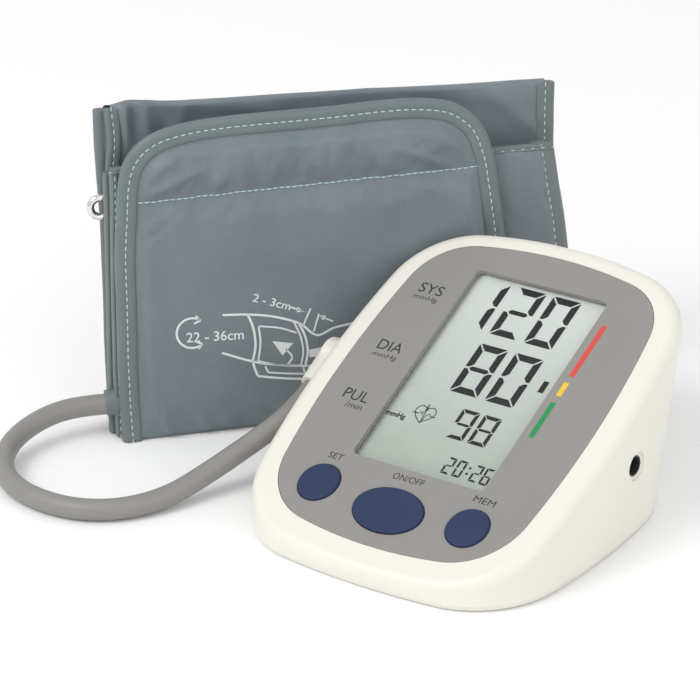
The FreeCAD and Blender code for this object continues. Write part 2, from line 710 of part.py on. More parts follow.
def make_air_path(outlet_x):
    """The block that joins pump, valve, sensor and socket, with the hoses between."""
    y, z, r, bore = size("pump_y"), size("pump_z"), size("hose_radius"), size("hose_bore")
    nip = size("nipple_radius")
    block = Part.makeBox(8, 8, 7, Vector(outlet_x - 8, y - 4, z - 3.5))
    middle = outlet_x - 4
    up = Part.makeCylinder(nip, 2, Vector(middle, y, z + 3.5))
    front = Part.makeCylinder(nip, 4, Vector(middle, y - 4, z), Vector(0, -1, 0))
    keep(feature("AirManifold", block.fuse([up, front])), "air_manifold")

    # pressure sensor under the board, its port straight above the block
    tall, tilt = 4.4, math.radians(size("face_tilt"))
    depth = size("board_top") + size("board_thick") + tall
    up_slope = (y - size("face_middle_y") - depth * math.sin(tilt)) / math.cos(tilt)
    sensor_place = FACE.multiply(at(middle, up_slope, -depth))
    case = Part.makeBox(7.6, 9, tall, Vector(-3.8, -4.5, 0))
    case.Placement = sensor_place
    port_low, port_high = z + 6.0, sensor_place.Base.z + 1.5
    port = Part.makeCylinder(nip, port_high - port_low, Vector(middle, y, port_low))
    keep(feature("PressureSensor", case.fuse(port)), "pressure_sensor")
    sensor_hose = tube_along([Vector(middle, y, z + 3.5), Vector(middle, y, z + 7.5)], r, bore)

    # hose from the block to the air socket in the left wall
    socket_end = -size("foot_half") + size("socket_depth") + 0.6
    bend = 6.0
    corner = Vector(middle, size("socket_y"), z)
    start = Vector(middle, y - 4, z)
    into, out = corner + Y_AXIS * bend, corner - X_AXIS * bend
    mid = corner + Vector(-1, 1, 0) * (bend * (1 - math.sqrt(0.5)))
    end = Vector(socket_end, corner.y, z)
    edges = [Part.LineSegment(start, into).toShape(), Part.Arc(into, mid, out).toShape(),
             Part.LineSegment(out, end).toShape()]
    socket_hose = swept(edges, r, start, Vector(0, -1, 0)).cut(
        swept(edges, bore, start, Vector(0, -1, 0)))
    keep(feature("InnerHoses", Part.makeCompound([sensor_hose, socket_hose])),
         "inner_hoses")
    return middle


def swept(edges, radius, start, direction):
    section = Part.Wire(Part.makeCircle(radius, start, direction))
    return Part.Wire(edges).makePipeShell([section], True, False)


def tube_along(points, radius, bore):
    run = points[1] - points[0]
    outer = Part.makeCylinder(radius, run.Length, points[0], run)
    return outer.cut(Part.makeCylinder(bore, run.Length, points[0], run))


def make_valve(manifold_x):
    """Exhaust valve beside the block: its plunger moves up against a spring."""
    y, low, tall = size("pump_y"), 19.6, size("valve_length")
    x = manifold_x - 4 - 4.2
    case = Part.makeBox(8.2, 12, tall + 4, Vector(x - 4.0, y - 6, low))
    bore = Part.makeCylinder(size("valve_bore"), tall, Vector(x, y, low + 2))
    keep(feature("ValveBody", case.cut(bore)), "valve_body")
    plunger = cylinder("ValvePlunger", "valve_bore - plunger_play", "9",
                       at(x, y, low + 2.05))
    keep(plunger, "valve_plunger")
    rest = low + 2.05 + 9
    coil = spring(1.7, 0.25, low + 2 + tall - rest - 0.7, 5.0)
    coil.Placement = at(x, y, rest + 0.35)
    keep(feature("ValveSpring", coil), "valve_spring")


def make_sockets():
    y, z, half = size("socket_y"), size("socket_z"), size("foot_half")
    end = -half + size("socket_depth")
    sleeve = side_cylinder(size("socket_radius"), -half + 0.3, end, y, z)
    sleeve = sleeve.cut(side_cylinder(size("socket_bore"), -half - 1, end - 0.8, y, z))
    sleeve = sleeve.fuse(side_cylinder(size("nipple_radius"), end, end + 5, y, z))
    keep(feature("AirSocket", sleeve), "air_socket")

    y, z = size("jack_y"), size("jack_z")
    mouth = size("jack_mouth")
    wide, tall, deep = size("jack_wide"), size("jack_tall"), size("jack_deep")
    case = Part.makeBox(deep - 2.8, wide, tall, Vector(mouth - deep, y - wide / 2,
                                                      z - tall / 2))
    neck = side_cylinder(size("jack_bore") + 0.5, mouth - 3, mouth, y, z)
    jack = case.fuse(neck)
    jack = jack.cut(side_cylinder(size("jack_bore"), mouth - size("jack_depth"),
                                  mouth + 1, y, z))
    inner = side_cylinder(2.5, mouth - deep + 1.5, mouth - size("jack_depth"), y, z)
    jack = jack.cut(inner)
    keep(feature("DcJack", jack), "dc_jack")
    pin = side_cylinder(0.95, mouth - deep + 1.5, mouth - size("jack_depth") - 0.6, y, z)
    keep(feature("JackPin", pin), "dc_jack_pin")


# ---- air tube and plug -------------------------------------------------------------

def make_tube():
    """Straight runs with an arc at each corner, as large as its two runs allow."""
    points = [Vector(*p) for p in TUBE_ROUTE]
    edges, radii, start = [], [], points[0]
    for before, corner, after in zip(points, points[1:], points[2:]):
        back, ahead = (before - corner), (after - corner)
        reach = 0.45 * min(back.Length, ahead.Length)
        turn = math.pi - back.getAngle(ahead)
        radii.append(reach / math.tan(turn / 2))
        first = corner + back.normalize() * reach
        last = corner + ahead.normalize() * reach
        bisector = (back + ahead).normalize()
        depth = radii[-1] / math.cos(turn / 2) - radii[-1]
        edges.append(Part.LineSegment(start, first).toShape())
        edges.append(Part.Arc(first, corner + bisector * depth, last).toShape())
        start = last
    edges.append(Part.LineSegment(start, points[-1]).toShape())
    length = sum(e.Length for e in edges)
    tube = swept(edges, size("tube_radius"), points[0], points[1] - points[0])
    expected = math.pi * size("tube_radius") ** 2 * length
    print("tube length %.1f, volume %.0f against %.0f" % (length, tube.Volume, expected))
    print("tube arc radii", [round(r, 1) for r in radii])
    keep(feature("AirTube", tube), "air_tube")


def make_plug():
    """An elbow: nose in the socket, domed head outside, arm down to the tube."""
    y, z, half = size("socket_y"), size("socket_z"), size("foot_half")
    x = -size("plug_x")
    nose_end = -half + size("plug_nose")
    r = size("plug_head")
    nose = side_cylinder(size("socket_bore") - size("plug_play"), x, nose_end, y, z)
    nose = nose.cut(side_cylinder(1.4, x + 6, nose_end + 1, y, z))
    collar = side_cylinder(r, x - 1.4, -half - 0.9, y, z)
    dome = Part.makeSphere(r, Vector(x - 1.4, y, z))
    squash = FreeCAD.Matrix()
    squash.scale(Vector(0.3, 1, 1))
    dome = dome.translate(Vector(-x + 1.4, 0, 0)).transformGeometry(squash).translate(
        Vector(x - 1.4, 0, 0))
    centre = Vector(x, y, z)
    end = Vector(*TUBE_ROUTE[-1])
    arm = Part.makeCone(size("plug_arm") + 0.6, size("plug_arm"), (end - centre).Length,
                        centre, end - centre)
    plug = collar.fuse([dome, arm, nose])
    keep(feature("AirPlug", plug.removeSplitter()), "air_plug")


# ---- cuff --------------------------------------------------------------------------

# Corner points of each folded panel in the cuff frame, across and up: low left, high
# left, high right, low right.
FRONT_PANEL = [(-2.4, 0.25), (5.5, 108.3), (125.8, 108.3), (131.0, 0.25)]
MIDDLE_PANEL = [(-5.2, 0.85), (-0.2, 95.0), (147.5, 88.0), (152.5, 0.85)]
BACK_PANEL = [(-5.2, 1.5), (-1.0, 111.8), (150.5, 104.0), (152.0, 1.5)]
FRONT_FROM, MIDDLE_FROM, BACK_FROM = 0.4, 4.2, 16.6


def panel_slab(corners, depth_from, depth_to, inset=0.0, rounded=0.0):
    """A flat panel between two depths, drawn in on all sides but the low one."""
    (ax, ay), (bx, by), (cx, cy), (dx, dy) = corners
    slope_left, slope_right = (bx - ax) / (by - ay), (cx - dx) / (cy - dy)
    ring = [(ax + inset, ay), (bx + inset - slope_left * inset, by - inset),
            (cx - inset - slope_right * inset, cy - inset), (dx - inset, dy)]
    points = [Vector(x, depth_from, t) for x, t in ring]
    face = Part.Face(Part.makePolygon(points + points[:1]))
    slab = face.extrude(Vector(0, depth_to - depth_from, 0))
    if rounded:
        through = [e for e in slab.Edges if e.CenterOfMass.z > 50 and abs(
            e.Vertexes[0].Point.y - e.Vertexes[1].Point.y) > 0.1]
        slab = slab.makeFillet(rounded, through)
    return slab


def bound_panel(name, corners, start, thick, rounded, sides_only):
    """A folded panel's cloth and the binding that wraps its edges."""
    wrap, wide = size("binding_thick"), size("binding_wide")
    cloth = panel_slab(corners, start, start + thick, 0, rounded)
    outside = panel_slab(corners, start - wrap, start + thick + wrap, -wrap,
                         rounded + wrap if rounded else 0)
    outside = outside.common(Part.makeBox(400, 100, 400 if not sides_only
                                          else corners[1][1] - corners[0][1] - 12,
                                          Vector(-100, -20, corners[0][1])))
    if sides_only:
        (ax, ay), (bx, by), (cx, cy), (dx, dy) = corners
        middle = [(ax + wide, ay - 20), (bx + wide, by + 20), (cx - wide, cy + 20),
                  (dx - wide, dy - 20)]
        hollow = panel_slab(middle, start - 5, start + thick + 5)
    else:
        hollow = panel_slab(corners, start - 5, start + thick + 5, wide, rounded - wide)
        hollow = hollow.fuse(Part.makeBox(120, 60, 40, Vector(4, -20, corners[0][1] - 35)))
    binding = outside.cut([cloth, hollow])
    return cloth, binding


def make_cuff():
    front, front_edge = bound_panel("Front", FRONT_PANEL, FRONT_FROM, size("cloth_front"),
                                    19.0, False)
    middle, middle_edge = bound_panel("Middle", MIDDLE_PANEL, MIDDLE_FROM,
                                      size("cloth_middle"), 0.0, True)
    back, back_edge = bound_panel("Back", BACK_PANEL, BACK_FROM, size("cloth_back"), 0.0,
                                  True)
    # the middle panel's pocket for the bladder, and the port's way out of its edge
    depth = MIDDLE_FROM + 0.5 * size("cloth_middle")
    thick = size("bladder_thick")
    bladder = Part.makeBox(126, thick, 76, Vector(port_end(), depth - thick / 2, 6))
    bladder = bladder.makeFillet(6.0, [e for e in bladder.Edges if abs(
        e.Vertexes[0].Point.y - e.Vertexes[1].Point.y) > 1])
    port = Part.makeCylinder(size("port_radius"), size("port_length"),
                             Vector(port_start(), depth, size("port_t")), X_AXIS)
    way = Part.makeCylinder(size("port_radius") + 0.05, size("port_length") + 3,
                            Vector(port_start() - 3, depth, size("port_t")), X_AXIS)
    middle = middle.cut([bladder, way])
    middle_edge = middle_edge.cut(way)
    pieces = [("FrontCloth", front, "cuff_front_panel"),
              ("FrontEdge", front_edge, "cuff_front_binding"),
              ("MiddleCloth", middle, "cuff_middle_panel"),
              ("MiddleEdge", middle_edge, "cuff_middle_binding"),
              ("BackCloth", back, "cuff_back_panel"),
              ("BackEdge", back_edge, "cuff_back_binding"),
              ("Bladder", bladder, "cuff_bladder"), ("Port", port, "tube_port")]
    for name, shape, label in pieces:
        keep(feature(name, shape, CUFF), label)
    make_ring()
    hook = box("Hook", "96", "patch_thick", "72",
               CUFF.multiply(at(16, FRONT_FROM + size("cloth_front"), 18)))
    keep(hook, "hook_patch")
    loop = box("Loop", "122", "patch_thick", "82",
               CUFF.multiply(at(12, BACK_FROM + size("cloth_back"), 10)))
    keep(loop, "loop_patch")


def port_start():
    """Where the port's mouth stands, level with the middle panel's left edge."""
    return MIDDLE_PANEL[0][0] - 0.3


def port_end():
    return port_start() + size("port_length")


def make_ring():
    """The long wire ring, and the folded tab of cloth that holds its upper bar."""
    wire, long_side, tall = size("ring_wire"), size("ring_length"), size("ring_height")
    bend = 0.5 * tall - wire
    straight = long_side - tall
    left = -6.4 + 0.5 * tall
    y, t = size("ring_depth"), size("ring_t")
    path = [Part.LineSegment(Vector(left, y, t + bend), Vector(left + straight, y, t + bend)),
            Part.Arc(Vector(left + straight, y, t + bend),
                     Vector(left + straight + bend, y, t),
                     Vector(left + straight, y, t - bend)),
            Part.LineSegment(Vector(left + straight, y, t - bend), Vector(left, y, t - bend)),
            Part.Arc(Vector(left, y, t - bend), Vector(left - bend, y, t),
                     Vector(left, y, t + bend))]
    section = Part.Wire(Part.makeCircle(wire, Vector(left, y, t + bend), X_AXIS))
    ring = Part.Wire([p.toShape() for p in path]).makePipeShell([section], True, False)
    keep(feature("Ring", ring, CUFF), "cuff_ring")
    bar = t + bend
    loop = Part.makeCylinder(wire + 0.5, 118, Vector(left + 12, y, bar), X_AXIS)
    tail = Part.makeBox(118, 2.0, 100.0 - bar, Vector(left + 12, y - 1.0, bar))
    tab = loop.fuse(tail).cut(Part.makeCylinder(wire + 0.1, 130, Vector(left + 6, y, bar),
                                                X_AXIS))
    keep(feature("RingTab", tab, CUFF), "cuff_ring_tab")


def main():
    make_housing()
    make_feet_and_screws()
    make_face()
    make_board()
    for name in BUTTON_SPOTS:
        make_button(name)
    make_cells()
    manifold_x = make_air_path(make_pump())
    make_valve(manifold_x)
    make_sockets()
    make_tube()
    make_plug()
    make_cuff()
    doc.recompute()

    for thing in doc.Objects:
        assert not {"Invalid", "Error"} & set(thing.State), "%s failed" % thing.Label
    for part in PARTS:
        assert not part.Shape.isNull() and part.Shape.isValid(), "%s is bad" % part.Label
        assert part.Shape.Solids, "%s has no solid" % part.Label
    os.makedirs("parts", exist_ok=True)
    for part in PARTS:
        part.Shape.exportStep("parts/%s.step" % part.Label)
    print(len(PARTS), "sub-parts written")


main()
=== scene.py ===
"""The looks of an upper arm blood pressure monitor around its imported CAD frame.

Metres, +Z up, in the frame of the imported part. The face frame has its origin at the
middle of the monitor's sloping face, x across, y up the slope, z out of it. The cuff
frame has x along the cuff's width, y towards its back and z up its leaning height. Both
are used in millimetres.
"""
import json
import math
import random

import bpy
import numpy as np
from mathutils import Matrix, Vector
from mathutils.bvhtree import BVHTree


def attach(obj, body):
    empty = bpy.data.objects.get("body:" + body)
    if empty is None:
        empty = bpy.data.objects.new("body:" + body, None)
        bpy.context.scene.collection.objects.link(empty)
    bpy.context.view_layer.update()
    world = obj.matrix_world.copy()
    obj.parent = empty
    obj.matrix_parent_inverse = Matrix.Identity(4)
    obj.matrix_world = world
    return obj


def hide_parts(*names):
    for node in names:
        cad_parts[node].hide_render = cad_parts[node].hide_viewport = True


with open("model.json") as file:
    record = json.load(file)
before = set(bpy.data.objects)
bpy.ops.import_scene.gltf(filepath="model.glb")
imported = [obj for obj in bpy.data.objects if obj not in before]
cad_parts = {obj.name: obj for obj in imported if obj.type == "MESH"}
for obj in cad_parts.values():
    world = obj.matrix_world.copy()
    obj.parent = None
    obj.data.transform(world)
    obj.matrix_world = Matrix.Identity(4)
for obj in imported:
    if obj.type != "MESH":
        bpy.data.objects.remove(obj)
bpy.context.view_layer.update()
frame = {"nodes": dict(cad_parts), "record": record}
NODES = frame["nodes"]
MM = 0.001
FACE = (Matrix.Translation((0, 0.0105, 0.0417)) @ Matrix.Rotation(math.radians(26.4), 4, "X")
        @ Matrix.Scale(MM, 4))
CUFF = (Matrix.Translation((-0.1205, -0.0216, 0)) @ Matrix.Rotation(math.radians(46), 4, "Z")
        @ Matrix.Rotation(math.radians(-4), 4, "X") @ Matrix.Scale(MM, 4))


# ---- materials ---------------------------------------------------------------------

class Shade:
    """A material whose nodes are added one after the other."""

    def __init__(self, name, colour, rough, metal=0.0, **sockets):
        self.material = bpy.data.materials.new(name)
        self.material.use_nodes = True
        self.tree = self.material.node_tree
        self.shader = self.tree.nodes["Principled BSDF"]
        self.colour = (*colour, 1.0)
        self.shader.inputs["Base Color"].default_value = self.colour
        self.shader.inputs["Roughness"].default_value = rough
        self.shader.inputs["Metallic"].default_value = metal
        self.rough, self.normal = rough, None
        for name, value in sockets.items():
            self.shader.inputs[name.replace("_", " ")].default_value = value

    def node(self, kind, links=(), **values):
        made = self.tree.nodes.new("ShaderNode" + kind)
        for name, value in values.items():
            if name[0].isupper():
                made.inputs[name].default_value = value
            else:
                setattr(made, name, value)
        for socket, source in links:
            self.tree.links.new(source, made.inputs[socket])
        return made

    def place(self, stretch=(1, 1, 1)):
        """The object's coordinates, stretched along each axis."""
        start = self.node("TexCoord").outputs["Object"]
        return self.node("Mapping", [("Vector", start)], Scale=stretch).outputs[0]

    def noise(self, size, stretch=(1, 1, 1), detail=2.0):
        """Noise whose lumps are about that many of the object's units across."""
        return self.node("TexNoise", [("Vector", self.place(stretch))],
                         Scale=1.0 / size, Detail=detail, Roughness=0.55).outputs["Fac"]

    def spread(self, value, low, high, start=0.3, end=0.7):
        return self.node("MapRange", [("Value", value)], **{
            "From Min": start, "From Max": end, "To Min": low, "To Max": high}).outputs[0]

    def tint(self, value, other, share=1.0, start=0.3, end=0.7):
        """Blends the base colour towards another where a pattern is high."""
        mixer = self.node("Mix", data_type="RGBA")
        self.tree.links.new(self.spread(value, 0.0, share, start, end), mixer.inputs[0])
        before = self.shader.inputs["Base Color"]
        if before.is_linked:
            self.tree.links.new(before.links[0].from_socket, mixer.inputs[6])
        else:
            mixer.inputs[6].default_value = self.colour
        mixer.inputs[7].default_value = (*other, 1.0)
        self.tree.links.new(mixer.outputs[2], before)
        return self

    def gloss(self, value, low, high):
        self.tree.links.new(self.spread(value, low, high), self.shader.inputs["Roughness"])
        return self

    def bump(self, value, depth, strength=0.5):
        """Raises the surface by up to depth metres where a pattern is high."""
        links = [("Height", value)] + ([("Normal", self.normal)] if self.normal else [])
        self.normal = self.node("Bump", links, Strength=strength,
                                Distance=depth).outputs[0]
        self.tree.links.new(self.normal, self.shader.inputs["Normal"])
        return self


def moulded(name, colour, rough, other, grain=0.0006, depth=0.00003, **sockets):
    """Moulded plastic or rubber: slow shade changes, uneven gloss and a fine grain."""
    shade = Shade(name, colour, rough, **sockets)
    shade.tint(shade.noise(0.03), other, 0.6)
    shade.gloss(shade.noise(0.008, detail=4), rough * 0.88, rough * 1.12)
    shade.bump(shade.noise(grain, detail=3), depth, 0.35)
    return shade.material


def metal(name, colour, rough, other, stretch=(1, 1, 1), **sockets):
    """Metal with drawn lines along one axis and slow tarnish."""
    shade = Shade(name, colour, rough, 1.0, **sockets)
    shade.tint(shade.noise(0.01, detail=4), other, 0.5)
    lines = shade.noise(0.0008, stretch, 3)
    shade.gloss(lines, rough * 0.7, rough * 1.4)
    shade.bump(lines, 0.00002, 0.25)
    return shade.material


HOUSING = moulded("housing_plastic", (0.80, 0.775, 0.705), 0.36, (0.775, 0.75, 0.68))
MATERIALS = {
    "housing": HOUSING,
    "panel": moulded("panel_paint", (0.272, 0.262, 0.250), 0.62, (0.258, 0.249, 0.239)),
    "button": moulded("button_plastic", (0.022, 0.037, 0.095), 0.55, (0.026, 0.043, 0.105),
                      Specular_IOR_Level=0.25),
    "soft_rubber": moulded("dark_rubber", (0.07, 0.07, 0.072), 0.7, (0.1, 0.1, 0.1)),
    "tube_rubber": moulded("tube_rubber", (0.265, 0.255, 0.238), 0.42, (0.24, 0.232, 0.218)),
    "silicone": moulded("hose_silicone", (0.6, 0.6, 0.58), 0.4, (0.5, 0.5, 0.48)),
    "black_plastic": moulded("black_plastic", (0.025, 0.025, 0.027), 0.5, (0.04, 0.04, 0.04)),
    "circuit_board": moulded("solder_mask", (0.02, 0.13, 0.05), 0.35, (0.03, 0.17, 0.07)),
    "steel": metal("zinc_steel", (0.58, 0.58, 0.57), 0.33, (0.48, 0.48, 0.47), (1, 1, 20)),
    "nickel": metal("bright_nickel", (0.78, 0.76, 0.73), 0.12, (0.7, 0.68, 0.65)),
    "copper": metal("copper_winding", (0.62, 0.3, 0.15), 0.35, (0.5, 0.22, 0.1), (30, 1, 1)),
    "magnet": moulded("ferrite", (0.07, 0.07, 0.075), 0.6, (0.1, 0.1, 0.1)),
    "cell": moulded("cell_sleeve", (0.03, 0.08, 0.3), 0.3, (0.02, 0.06, 0.24)),
    "segment": moulded("display_black", (0.006, 0.006, 0.008), 0.6, (0.009, 0.009, 0.011)),
    "caption": moulded("caption_ink", (0.022, 0.021, 0.021), 0.5, (0.03, 0.028, 0.028)),
    "red": moulded("red_ink", (0.66, 0.065, 0.045), 0.5, (0.6, 0.06, 0.04)),
    "yellow": moulded("yellow_ink", (0.80, 0.53, 0.03), 0.5, (0.74, 0.48, 0.03)),
    "green": moulded("green_ink", (0.01, 0.27, 0.075), 0.5, (0.015, 0.24, 0.07)),
}


def window_material():
    """Clear acrylic: nearly all light passes, and the rest is its own reflection."""
    shade = Shade("window_acrylic", (1, 1, 1), 0.06, IOR=1.45)
    shade.bump(shade.noise(0.02), 0.00002, 0.2)
    clear = shade.node("BsdfTransparent", Color=(0.985, 0.99, 0.985, 1))
    gloss = shade.node("BsdfGlossy", [("Normal", shade.normal)], Roughness=0.08)
    mixer = shade.node("MixShader", Fac=0.006)
    shade.tree.links.new(clear.outputs[0], mixer.inputs[1])
    shade.tree.links.new(gloss.outputs[0], mixer.inputs[2])
    output = shade.tree.nodes["Material Output"]
    shade.tree.links.new(mixer.outputs[0], output.inputs["Surface"])
    shade.tree.nodes.remove(shade.shader)
    return shade.material


def display_material():
    """The polariser over the reflector: greenish grey, with painted shade darkening it towards
    its lower end.
    """
    shade = Shade("display_polariser", (0.645, 0.685, 0.650), 0.55)
    height = shade.node("SeparateXYZ", [("Vector", shade.place())]).outputs["Y"]
    # painted shade: the colour darkens along the display's height, standing in for the light
    # falling off towards its lower end
    shade.tint(height, (0.335, 0.385, 0.340), 1.0, 0.046, -0.030)
    shade.tint(shade.noise(0.012), (0.61, 0.655, 0.62), 0.15)
    shade.bump(shade.noise(0.0004), 0.00001, 0.2)
    return shade.material


MATERIALS["window"] = window_material()
MATERIALS["display"] = display_material()


def nylon(name, colour, light, dark, fuzz=0.0):
    """Coated nylon in the cuff's own millimetres: threads both ways, soft tone changes."""
    shade = Shade(name, colour, 0.5, Sheen_Weight=0.25 + fuzz, Sheen_Roughness=0.4)
    shade.shader.inputs["Sheen Tint"].default_value = (*light, 1)
    up = shade.noise(0.34, (1, 1, 0.05), 1)
    across = shade.noise(0.34, (0.05, 1, 1), 1)
    shade.tint(shade.noise(34, detail=3), light, 0.55, 0.35, 0.75)
    shade.tint(shade.noise(22, (1, 1, 0.7), 3), dark, 0.5, 0.45, 0.8)
    shade.tint(up, dark, 0.22)
    shade.tint(across, light, 0.2)
    shade.gloss(shade.noise(6, detail=4), 0.42, 0.56)
    shade.bump(up, 0.00005, 0.35)
    shade.bump(across, 0.00005, 0.35)
    shade.bump(shade.noise(3.5, detail=3), 0.0002, 0.25)
    return shade.material


def pile(name, colour, other):
    """Brushed fastening pile: a dense, fuzzy surface."""
    shade = Shade(name, colour, 0.9, Sheen_Weight=0.6, Sheen_Roughness=0.5)
    shade.tint(shade.noise(0.5, detail=4), other, 0.8)
    shade.tint(shade.noise(14, detail=2), other, 0.4)
    shade.bump(shade.noise(0.45, detail=4), 0.0004, 0.9)
    return shade.material


CLOTH_COLOUR, CLOTH_LIGHT, CLOTH_DARK = (0.150, 0.182, 0.205), (0.215, 0.245, 0.262), (
    0.105, 0.132, 0.155)
MATERIALS["cuff_cloth"] = nylon("cuff_nylon", CLOTH_COLOUR, CLOTH_LIGHT, CLOTH_DARK)
MATERIALS["cuff_binding"] = nylon("binding_tape", (0.140, 0.170, 0.178), (0.19, 0.22, 0.225),
                                  (0.10, 0.125, 0.135))
MATERIALS["tab_cloth"] = nylon("tab_nylon", CLOTH_COLOUR, CLOTH_LIGHT, CLOTH_DARK)
MATERIALS["hook"] = pile("hook_tape", (0.10, 0.12, 0.13), (0.15, 0.17, 0.18))
MATERIALS["loop"] = pile("loop_pile", (0.13, 0.15, 0.165), (0.19, 0.21, 0.22))
MATERIALS["thread"] = moulded("mint_thread", (0.50, 0.64, 0.64), 0.6, (0.42, 0.56, 0.56), 0.4,
                              0.0001)
MATERIALS["ink"] = moulded("white_ink", (0.72, 0.75, 0.76), 0.6, (0.64, 0.67, 0.68), 0.5,
                           0.00003)
slots = {row["node"]: row["material_slot"] for row in frame["record"]["subparts"]}
for name, node in NODES.items():
    node.data.materials.clear()
    node.data.materials.append(MATERIALS[slots[name]])

# ---- lines and sheets in the cuff frame --------------------------------------------

def smooth_line(knots, step):
    """Points about step apart on a smooth line through the knots."""
    p = np.array(knots, float)
    ends = np.vstack([2 * p[0] - p[1], p, 2 * p[-1] - p[-2]])
    fine = []
    for a, b, c, d in zip(ends, ends[1:], ends[2:], ends[3:]):
        for u in np.linspace(0, 1, 24, endpoint=False):
            fine.append(b + 0.5 * u * (c - a + u * (2 * a - 5 * b + 4 * c - d
                                                    + u * (3 * (b - c) + d - a))))
    return spaced(np.array(fine + [p[-1]]), step=step)


def spaced(line, step=None, count=None):
    """The same line with its points evenly spaced along it."""
    run_to = np.concatenate([[0], np.cumsum(np.linalg.norm(np.diff(line, axis=0), axis=1))])
    count = count or max(2, int(round(run_to[-1] / step)) + 1)
    at = np.linspace(0, run_to[-1], count)
    return np.stack([np.interp(at, run_to, column) for column in line.T], 1)


def along(line):
    """Unit vectors along a line."""
    way = np.gradient(line, axis=0)
    return way / np.linalg.norm(way, axis=1)[:, None]


def inset(line, by):
    """An outline that goes up the left side and over, moved to its right by a margin."""
    way = along(line)
    return line + by * np.stack([way[:, 1], -way[:, 0]], 1)


def ripple(x, seed, length, octaves=2):
    """Smooth seeded noise from -1 to 1 along a line, with waves about that long."""
    rng = np.random.default_rng(seed)
    total = np.zeros_like(x, dtype=float)
    for k in range(octaves):
        wave = length / 2 ** k
        knots = np.arange(math.floor(x.min() / wave) - 1, math.ceil(x.max() / wave) + 2)
        total += np.interp(x, knots * wave, rng.uniform(-1, 1, len(knots))) / 2 ** k
    return total / sum(0.5 ** k for k in range(octaves))


def new_piece(name, points, faces, matrix, body, slot, stands_for=(), smooth=True,
              material=None):
    mesh = bpy.data.meshes.new(name)
    mesh.from_pydata([tuple(p) for p in points], [], [tuple(f) for f in faces])
    if smooth:
        mesh.shade_smooth()
    mesh.materials.append(material or MATERIALS[slot])
    piece = bpy.data.objects.new(name, mesh)
    bpy.context.scene.collection.objects.link(piece)
    piece.matrix_world = matrix
    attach(piece, body)
    if stands_for:
        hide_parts(*stands_for)
    return piece


def grid_faces(rows, columns, start=0, closed=False):
    """Quads between neighbouring rows of points, all the way round if closed."""
    last = columns if closed else columns - 1
    return [(start + j * columns + i, start + j * columns + (i + 1) % columns,
             start + (j + 1) * columns + (i + 1) % columns, start + (j + 1) * columns + i)
            for j in range(rows - 1) for i in range(last)]


def simulate(grid, pinned, grow, pull, stiff, frames, cap, seed):
    """Lets a pinned sheet that is slightly too large settle into folds.

    It is simulated at ten times its size, in the cuff frame, pulled gently towards the
    front. No point ends up further than cap from where it started.
    """
    scale = 0.01
    rows, columns = grid.shape[:2]
    rng = np.random.default_rng(seed)
    start = grid.reshape(-1, 3).copy()
    loose = ~pinned.ravel()
    start[loose, 1] -= rng.uniform(0, 0.25, loose.sum())
    mesh = bpy.data.meshes.new("sheet")
    mesh.from_pydata([tuple(p) for p in start * scale], [], grid_faces(rows, columns))
    sheet = bpy.data.objects.new("sheet", mesh)
    scene = bpy.context.scene
    scene.collection.objects.link(sheet)
    pins = sheet.vertex_groups.new(name="pins")
    pins.add([int(i) for i in np.flatnonzero(pinned.ravel())], 1.0, "REPLACE")
    cloth = sheet.modifiers.new("cloth", "CLOTH")
    cloth.settings.vertex_group_mass = "pins"
    cloth.settings.quality = 5
    cloth.settings.mass = 0.15
    cloth.settings.tension_stiffness = cloth.settings.compression_stiffness = 25
    cloth.settings.shear_stiffness = 12
    cloth.settings.bending_stiffness = stiff
    cloth.settings.air_damping = 3
    cloth.settings.shrink_min = -grow
    cloth.point_cache.frame_start, cloth.point_cache.frame_end = 1, frames
    gravity, scene.gravity = tuple(scene.gravity), (0, -pull, 0)
    for number in range(1, frames + 1):
        scene.frame_set(number)
    settled = sheet.evaluated_get(bpy.context.evaluated_depsgraph_get()).to_mesh()
    result = np.empty(len(start) * 3)
    settled.vertices.foreach_get("co", result)
    result = result.reshape(-1, 3) / scale
    scene.gravity = gravity
    scene.frame_set(1)
    bpy.data.objects.remove(sheet)
    move = result - start
    size = np.linalg.norm(move, axis=1)[:, None]
    move *= np.minimum(1.0, cap / np.maximum(size, 1e-9))
    return (start + move).reshape(grid.shape)


def fold(grid, a, b, width, height):
    """A soft ridge towards the front between two (s, t) points, fading at its ends."""
    a, b = np.array(a, float), np.array(b, float)
    way = b - a
    flat = grid[..., ::2] - a
    u = (flat @ way) / (way @ way)
    across = np.abs(flat @ np.array([way[1], -way[0]])) / np.linalg.norm(way)
    fade = np.clip(np.minimum(u, 1 - u) * 3 + 0.35, 0, 1)
    grid[..., 1] -= height * np.exp(-(across / width) ** 2) * fade * fade * (3 - 2 * fade)


def rows_between(left, right, rows, columns, depth):
    """A grid of points at one depth, its rows running from one side line to the other."""
    left, right = spaced(left, count=rows), spaced(right, count=rows)
    u = 0.5 - 0.5 * np.cos(np.linspace(0, math.pi, columns))
    u = 0.6 * np.linspace(0, 1, columns) + 0.4 * u
    flat = left[:, None] + (right - left)[:, None] * u[None, :, None]
    return np.stack([flat[..., 0], np.full(flat.shape[:2], float(depth)), flat[..., 1]], 2)


# ---- bindings and stitches ---------------------------------------------------------

